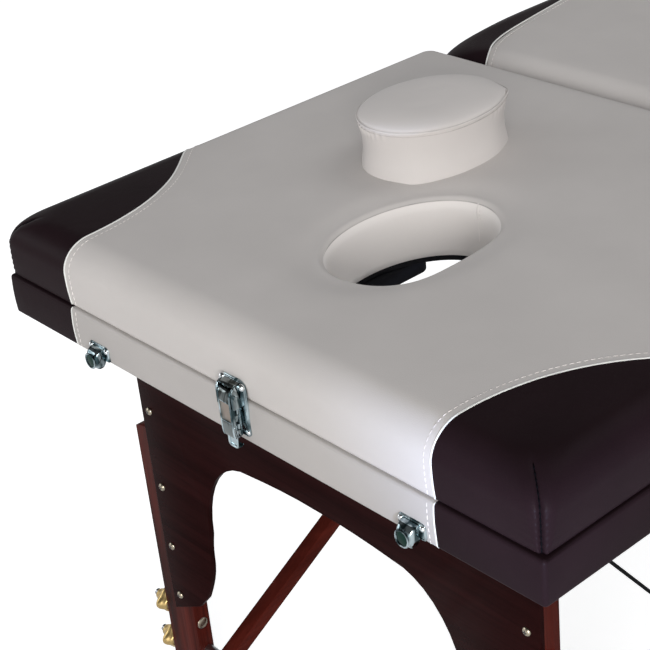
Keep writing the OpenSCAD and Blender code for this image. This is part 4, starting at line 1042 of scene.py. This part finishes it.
def add_legs():
    """Posts, arch panels, extensions, tips and braces with eased edges, and their fasteners."""
    shared = [("posts", "post_wood", 1.8, 3), ("arch_panel", "panel_wood", 0.8, 2), ("brace_lower", "red_wood", 1.4, 3),
              ("brace_upper", "red_wood", 1.4, 3), ("left_extension", "post_wood", 1.5, 3),
              ("left_tip", "rubber", 1.6, 3), ("right_extension", "post_wood", 1.5, 3), ("right_tip", "rubber", 1.6, 3)]
    for half in ("head", "foot"):
        for node, look, width, segments in shared:
            eased(half + "_" + node, look, width, segments=segments)
        repaint(half + "_leg_fasteners", half + "_knee_bolts", half + "_brackets", half + "_leg_rod", material="steel")
        repaint(half + "_deck", material="board")
    repaint("head_ledges", material="plain_wood")
    eased("backrest_board", "board", 0.8)
    eased("backrest_battens", "board", 2.0, segments=3)
    repaint("mid_hinge_head", "mid_hinge_foot", "backrest_hinge", "backrest_leaf", "prop_ears", "prop_ladders",
            "backrest_prop", material="steel")
    eased("latch_keeper", "chrome", 0.4)


def add_screws():
    """Cross-slotted heads of the panel screws, set over the plain domes of the leg fasteners, and of the clamp bolts
    on the posts' inner sides."""
    places = [(s * 258.0, 76.0, -w) for s in (1, -1) for w in (118, 212, 289, 355)]
    heads = [turned(dome_profile(4.5, 2.9), c) for c in places]
    slots = [block((x - dx, v - 3.0, w - dw), (x + dx, v - 2.1, w + dw), 0.2)
             for x, v, w in places for dx, dw in ((2.1, 0.45), (0.45, 2.1))]
    for half in ("head", "foot"):
        piece(half + "_screw_heads", heads, "screw", half + "_legs", half=half, crease=50)
        piece(half + "_screw_slots", slots, "bolt", half + "_legs", half=half, crease=50)
    caps = []
    for level in ("upper", "lower"):
        v, w = middle("head_right_knob_" + level, "head")[1:]
        caps += [turned(dome_profile(6.8, 1.4, 6, 1.5), (s * 247.6, v, w), "x", -s, 28) for s in (1, -1)]
    piece("head_bolt_heads", caps, "screw", "head_legs", crease=50)


def middle(node, half):
    """Middle of a CAD node's box in the half frame's millimetres."""
    x, y, z = np.mean(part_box(node), axis=0) * 1000
    return x, y - HEAD_END if half == "head" else FOOT_END - y, z - RAIL_LOW


def knob_lobes(profile, turn):
    """Four soft wings: the radius grows by a cosine of four turns, less towards the tip."""
    share = np.clip((profile[:, 1] - 6) / 11, 0, 1)[:, None]
    return 1 - 0.16 * share * (1 - np.cos(4 * turn)[None, :]) / 2 ** 0.5


# Clamp knob from its washer to its tip: share of the length, and share of the radius
KNOB = [(0.0, 0.62), (0.03, 0.70), (0.10, 0.72), (0.22, 0.90), (0.34, 1.0), (0.42, 0.99), (0.52, 0.86), (0.62, 0.64),
        (0.72, 0.48), (0.86, 0.42), (0.96, 0.40), (1.0, 0.36)]


def add_knobs():
    """Brass clamp knobs: four wings that flare from the washer and a collar that ends at the bolt's tip."""
    for half, side, level in itertools.product(("head", "foot"), ("left", "right"), ("upper", "lower")):
        node = f"{half}_{side}_knob_{level}"
        low, high = np.array(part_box(node)) * 1000
        s, inner = (1.0, low[0]) if side == "right" else (-1.0, high[0])
        profile = smooth_path(np.array(KNOB) * (high[0] - low[0], (high[1] - low[1]) / 2), 30)
        shape = turned(profile, (inner, *middle(node, half)[1:]), "x", s, 48, knob_lobes)
        piece(node + "_turned", [shape], "brass", node, node, slot="brass", half=half, crease=50)


def add_cables():
    """Steel stay cables from the leg rod to the knee, with a crimped eye at each end. A cable hangs by a parabola."""
    aside = (1.0, 0.0, 0.0)
    for half, (side, s) in itertools.product(("head", "foot"), (("right", 1), ("left", -1))):
        t = np.linspace(0, 1, 50)[:, None]
        path = np.array(CABLE_FROM) + (np.array(CABLE_TO) - CABLE_FROM) * t - t * (1 - t) * (0, 0, 4 * CABLE_SAG)
        path *= (s, 1, 1)
        cord = build(f"{half}_{side}_stay_cable", [tube(path, CABLE_D / 2, 10, aside)], "cable", half)
        shapes, turn = [], full_turn(28)[:, None]
        for tip, inward in ((path[0], path[5]), (path[-1], path[-6])):
            d = unit(inward - tip)
            sleeve = tip + d * np.array([[0.6], [1.2], [12.4], [13.0]])
            loop = tip - d * 5.2 + 5.4 * (np.cos(turn) * (0, 1, 0) + np.sin(turn) * (0, 0, 1))
            loop[:, 0] = path[0, 0]
            shapes += [tube(sleeve, [1.8, 2.4, 2.4, 1.8], 12, aside), tube(loop, 1.3, 8, aside, closed=True)]
        eyes = build(f"{half}_{side}_cable_eyes", shapes, "steel", half)
        start, end = to_row([CABLE_FROM, CABLE_TO], half)
        for obj in (cord, eyes):
            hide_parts(half + "_cables")
            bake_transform(obj)
        points = to_row(path, half)


# Stage

def mix_shaders(tree, output, share, one, other):
    """Mixes two shaders by a share into the output."""
    mix = add_node(tree, "MixShader", Fac=share)
    feed(tree, mix.inputs[1], one)
    feed(tree, mix.inputs[2], other)
    feed(tree, tree.nodes[output].inputs["Surface"], mix.outputs["Shader"])


def seen(tree, mirrored):
    """One to the camera and a share in mirrors, and the camera's part of it alone."""
    path = tree.nodes.new("ShaderNodeLightPath").outputs
    mirror = math_node(tree, "MAXIMUM", path["Is Glossy Ray"], path["Is Transmission Ray"])
    mirror = math_node(tree, "MULTIPLY", mirror, mirrored)
    return math_node(tree, "MAXIMUM", path["Is Camera Ray"], mirror), path["Is Camera Ray"]


def add_floor():
    """Floor that keeps the table's shadow and glows to the camera."""
    size = 9.0
    mesh = bpy.data.meshes.new("floor")
    mesh.from_pydata([(-size, -size, 0), (size, -size, 0), (size, size, 0), (-size, size, 0)], [], [(0, 1, 2, 3)])
    new_object("floor", mesh)
    mat, tree, shader, _ = new_material("floor_white", (0.86, 0.86, 0.86), 0.9)
    matt_white = shader.outputs["BSDF"]
    plus = tree.nodes.new("ShaderNodeAddShader")
    feed(tree, plus.inputs[0], matt_white)
    feed(tree, plus.inputs[1], add_node(tree, "Emission", Strength=0.70).outputs["Emission"])
    mix_shaders(tree, "Material Output", seen(tree, 0.12)[0], matt_white, plus.outputs["Shader"])
    mesh.materials.append(mat)


def add_backdrop():
    """White to the camera and in mirrors, where it darkens upwards, and an even dim light on the table."""
    world = bpy.data.worlds.new("studio")
    bpy.context.scene.world = world
    world.use_nodes = True
    tree = world.node_tree
    plain = tree.nodes["Background"]
    feed(tree, plain.inputs["Color"], (0.95, 0.97, 1.0))
    feed(tree, plain.inputs["Strength"], 0.40)
    place = tree.nodes.new("ShaderNodeTexCoord").outputs["Object"]
    height = add_node(tree, "SeparateXYZ", Vector=place).outputs["Z"]
    share, camera = seen(tree, 1.0)
    bright = math_node(tree, "MAXIMUM", camera, map_range(tree, height, 0.04, 0.45, 1.0, 0.10))
    white = add_node(tree, "Background", Strength=bright)
    mix_shaders(tree, "World Output", share, plain.outputs["Background"], white.outputs["Background"])


def add_lamp(name, kind, place, aim, power, colour):
    """Lamp at a place, turned to what it lights."""
    lamp = bpy.data.lights.new(name, kind)
    lamp.energy = power
    lamp.color = colour
    obj = new_object(name, lamp)
    obj.location = place
    obj.rotation_euler = Vector(tuple(np.array(aim) - place)).to_track_quat("-Z", "Y").to_euler()
    return lamp


def add_camera():
    """Camera where the photo's stood, by its azimuth, elevation and roll."""
    eye = bpy.data.cameras.new("photo_camera")
    eye.sensor_width = 36.0
    eye.lens = 91.46
    eye.clip_end = 60.0
    cam = new_object("photo_camera", eye)
    cam.location = to_row((982.0, -682.1, 760.0), "head")
    az, el, roll = (math.radians(a) for a in (51.14, 29.02, -6.07))
    ahead = np.array([-math.cos(el) * math.sin(az), math.cos(el) * math.cos(az), -math.sin(el)])
    right = unit(np.cross(ahead, [0, 0, 1]))
    up = np.cross(right, ahead)
    c, s = math.cos(roll), math.sin(roll)
    axes = np.stack([c * right + s * up, -s * right + c * up, -ahead], axis=-1)
    cam.rotation_euler = Matrix(axes.tolist()).to_euler()
    bpy.context.scene.camera = cam


def add_stage():
    """Floor, backdrop, lamps and camera."""
    add_floor()
    add_backdrop()
    lamps = [
        ("key_lamp", (2.9, -3.5, 1.45), (0.0, -0.8, 0.55), 112.0, (1.0, 0.985, 0.97), 1.7),
        ("side_lamp", (-3.2, -3.0, 1.8), (0.0, -0.6, 0.55), 20.0, (0.94, 0.97, 1.0), 1.6),
        ("top_lamp", (0.6, 1.2, 3.2), (0.0, -0.3, 0.55), 12.0, (1.0, 1.0, 1.0), 1.8),
    ]
    for name, place, aim, power, colour, width in lamps:
        add_lamp(name, "AREA", place, aim, power, colour).size = width
    near_corner = to_row((340, 8, 72), "head")
    spot = add_lamp("corner_lamp", "SPOT", (2.1, -2.6, 0.25), near_corner, 340.0, (0.56, 0.68, 1.0))
    spot.shadow_soft_size = 0.05
    spot.spot_size = math.radians(7.0)
    spot.spot_blend = 1.0
    add_camera()
    bpy.context.scene.view_settings.view_transform = "Standard"


# Settings, operators and panel

def colour_setting(name, description, *default):
    """Colour that the panel shows."""
    return FloatVectorProperty(name=name, description=description, subtype="COLOR", default=default, min=0, max=1)


class TableLook(PropertyGroup):
    """Colours of the table."""

    beige: colour_setting("Beige vinyl", "Colour of the light vinyl", 0.60, 0.567, 0.545)
    brown: colour_setting("Brown vinyl", "Colour of the dark vinyl", 0.0155, 0.0080, 0.0100)
    cream: colour_setting("Plug vinyl", "Colour of the plug cushion", 0.70, 0.66, 0.635)
    mahogany: colour_setting("Mahogany", "Dark colour of the legs", 0.0105, 0.0026, 0.0026)
    redwood: colour_setting("Red wood", "Light colour of the legs and braces", 0.11, 0.017, 0.011)
    brass: colour_setting("Brass", "Colour of the clamp knobs", 0.76, 0.55, 0.24)


class TableSizes(PropertyGroup):
    """Sizes that shape the soft pieces."""

    plug_height: FloatProperty(name="Plug height", description="Height of the plug cushion", default=0.061,
                               min=0.04, max=0.08, unit="LENGTH")


class Step:
    """What the operators share: each calls its makers in order."""

    makers = ()

    def execute(self, context):
        for make in self.makers:
            make()
        return {"FINISHED"}


class TABLE_OT_cushions(Step, Operator):
    """Build the three cushions of the top"""

    bl_idname = "table.cushions"
    bl_label = "Cushions"
    makers = (add_cushions,)


class TABLE_OT_seams(Step, Operator):
    """Sew the folded edges, topstitches and seams of the cushions"""

    bl_idname = "table.seams"
    bl_label = "Cushion seams"
    makers = (add_cushion_seams,)


class TABLE_OT_plug(Step, Operator):
    """Build the plug cushion of the face hole"""

    bl_idname = "table.plug"
    bl_label = "Plug cushion"
    makers = (add_plug_cushion,)


class TABLE_OT_bands(Step, Operator):
    """Wrap the rails of both halves in vinyl"""

    bl_idname = "table.bands"
    bl_label = "Wrapped rails"
    makers = (add_bands,)


class TABLE_OT_latch(Step, Operator):
    """Build the draw latch on the end rail"""

    bl_idname = "table.latch"
    bl_label = "Latch"
    makers = (add_latch,)


class TABLE_OT_locators(Step, Operator):
    """Build the two locator hooks on the end rail"""

    bl_idname = "table.locators"
    bl_label = "Locator hooks"
    makers = (add_locators,)


class TABLE_OT_legs(Step, Operator):
    """Ease and finish the legs, braces, boards and hinges"""

    bl_idname = "table.legs"
    bl_label = "Legs and boards"
    makers = (add_legs,)


class TABLE_OT_screws(Step, Operator):
    """Set the cross-slotted screws of the arch panels"""

    bl_idname = "table.screws"
    bl_label = "Panel screws"
    makers = (add_screws,)


class TABLE_OT_knobs(Step, Operator):
    """Turn the brass clamp knobs"""

    bl_idname = "table.knobs"
    bl_label = "Clamp knobs"
    makers = (add_knobs,)


class TABLE_OT_cables(Step, Operator):
    """Hang the stay cables of both leg sets"""

    bl_idname = "table.cables"
    bl_label = "Stay cables"
    makers = (add_cables,)


class TABLE_OT_stage(Step, Operator):
    """Set the floor, backdrop, lamps and camera"""

    bl_idname = "table.stage"
    bl_label = "Stage"
    makers = (add_stage,)


STEPS = (TABLE_OT_cushions, TABLE_OT_seams, TABLE_OT_plug, TABLE_OT_bands, TABLE_OT_latch, TABLE_OT_locators,
         TABLE_OT_legs, TABLE_OT_screws, TABLE_OT_knobs, TABLE_OT_cables, TABLE_OT_stage)


class TABLE_PT_build(Panel):
    """Panel with the colours, the sizes and the steps"""

    bl_idname = "TABLE_PT_build"
    bl_label = "Massage Table"
    bl_space_type = "VIEW_3D"
    bl_region_type = "UI"
    bl_category = "Table"

    def draw(self, context):
        layout = self.layout
        look, sizes = context.scene.table_look, context.scene.table_sizes
        for name in COLOURS:
            layout.prop(look, name)
        layout.prop(sizes, "plug_height")
        for step in STEPS:
            layout.operator(step.bl_idname)


CLASSES = (TableLook, TableSizes) + STEPS + (TABLE_PT_build,)


def register():
    """Registers the classes and the scene's settings."""
    for cls in CLASSES:
        bpy.utils.register_class(cls)
    bpy.types.Scene.table_look = PointerProperty(type=TableLook)
    bpy.types.Scene.table_sizes = PointerProperty(type=TableSizes)


def unregister():
    """Removes the settings and the classes."""
    del bpy.types.Scene.table_sizes
    del bpy.types.Scene.table_look
    for cls in reversed(CLASSES):
        bpy.utils.unregister_class(cls)


def main():
    """Builds the table in order."""
    register()
    for step in STEPS:
        call = getattr(bpy.ops.table, step.bl_idname.split(".")[1])
        if call() != {"FINISHED"}:
            raise RuntimeError(step.bl_label + " didn't finish")


if __name__ == "__main__":
    main()
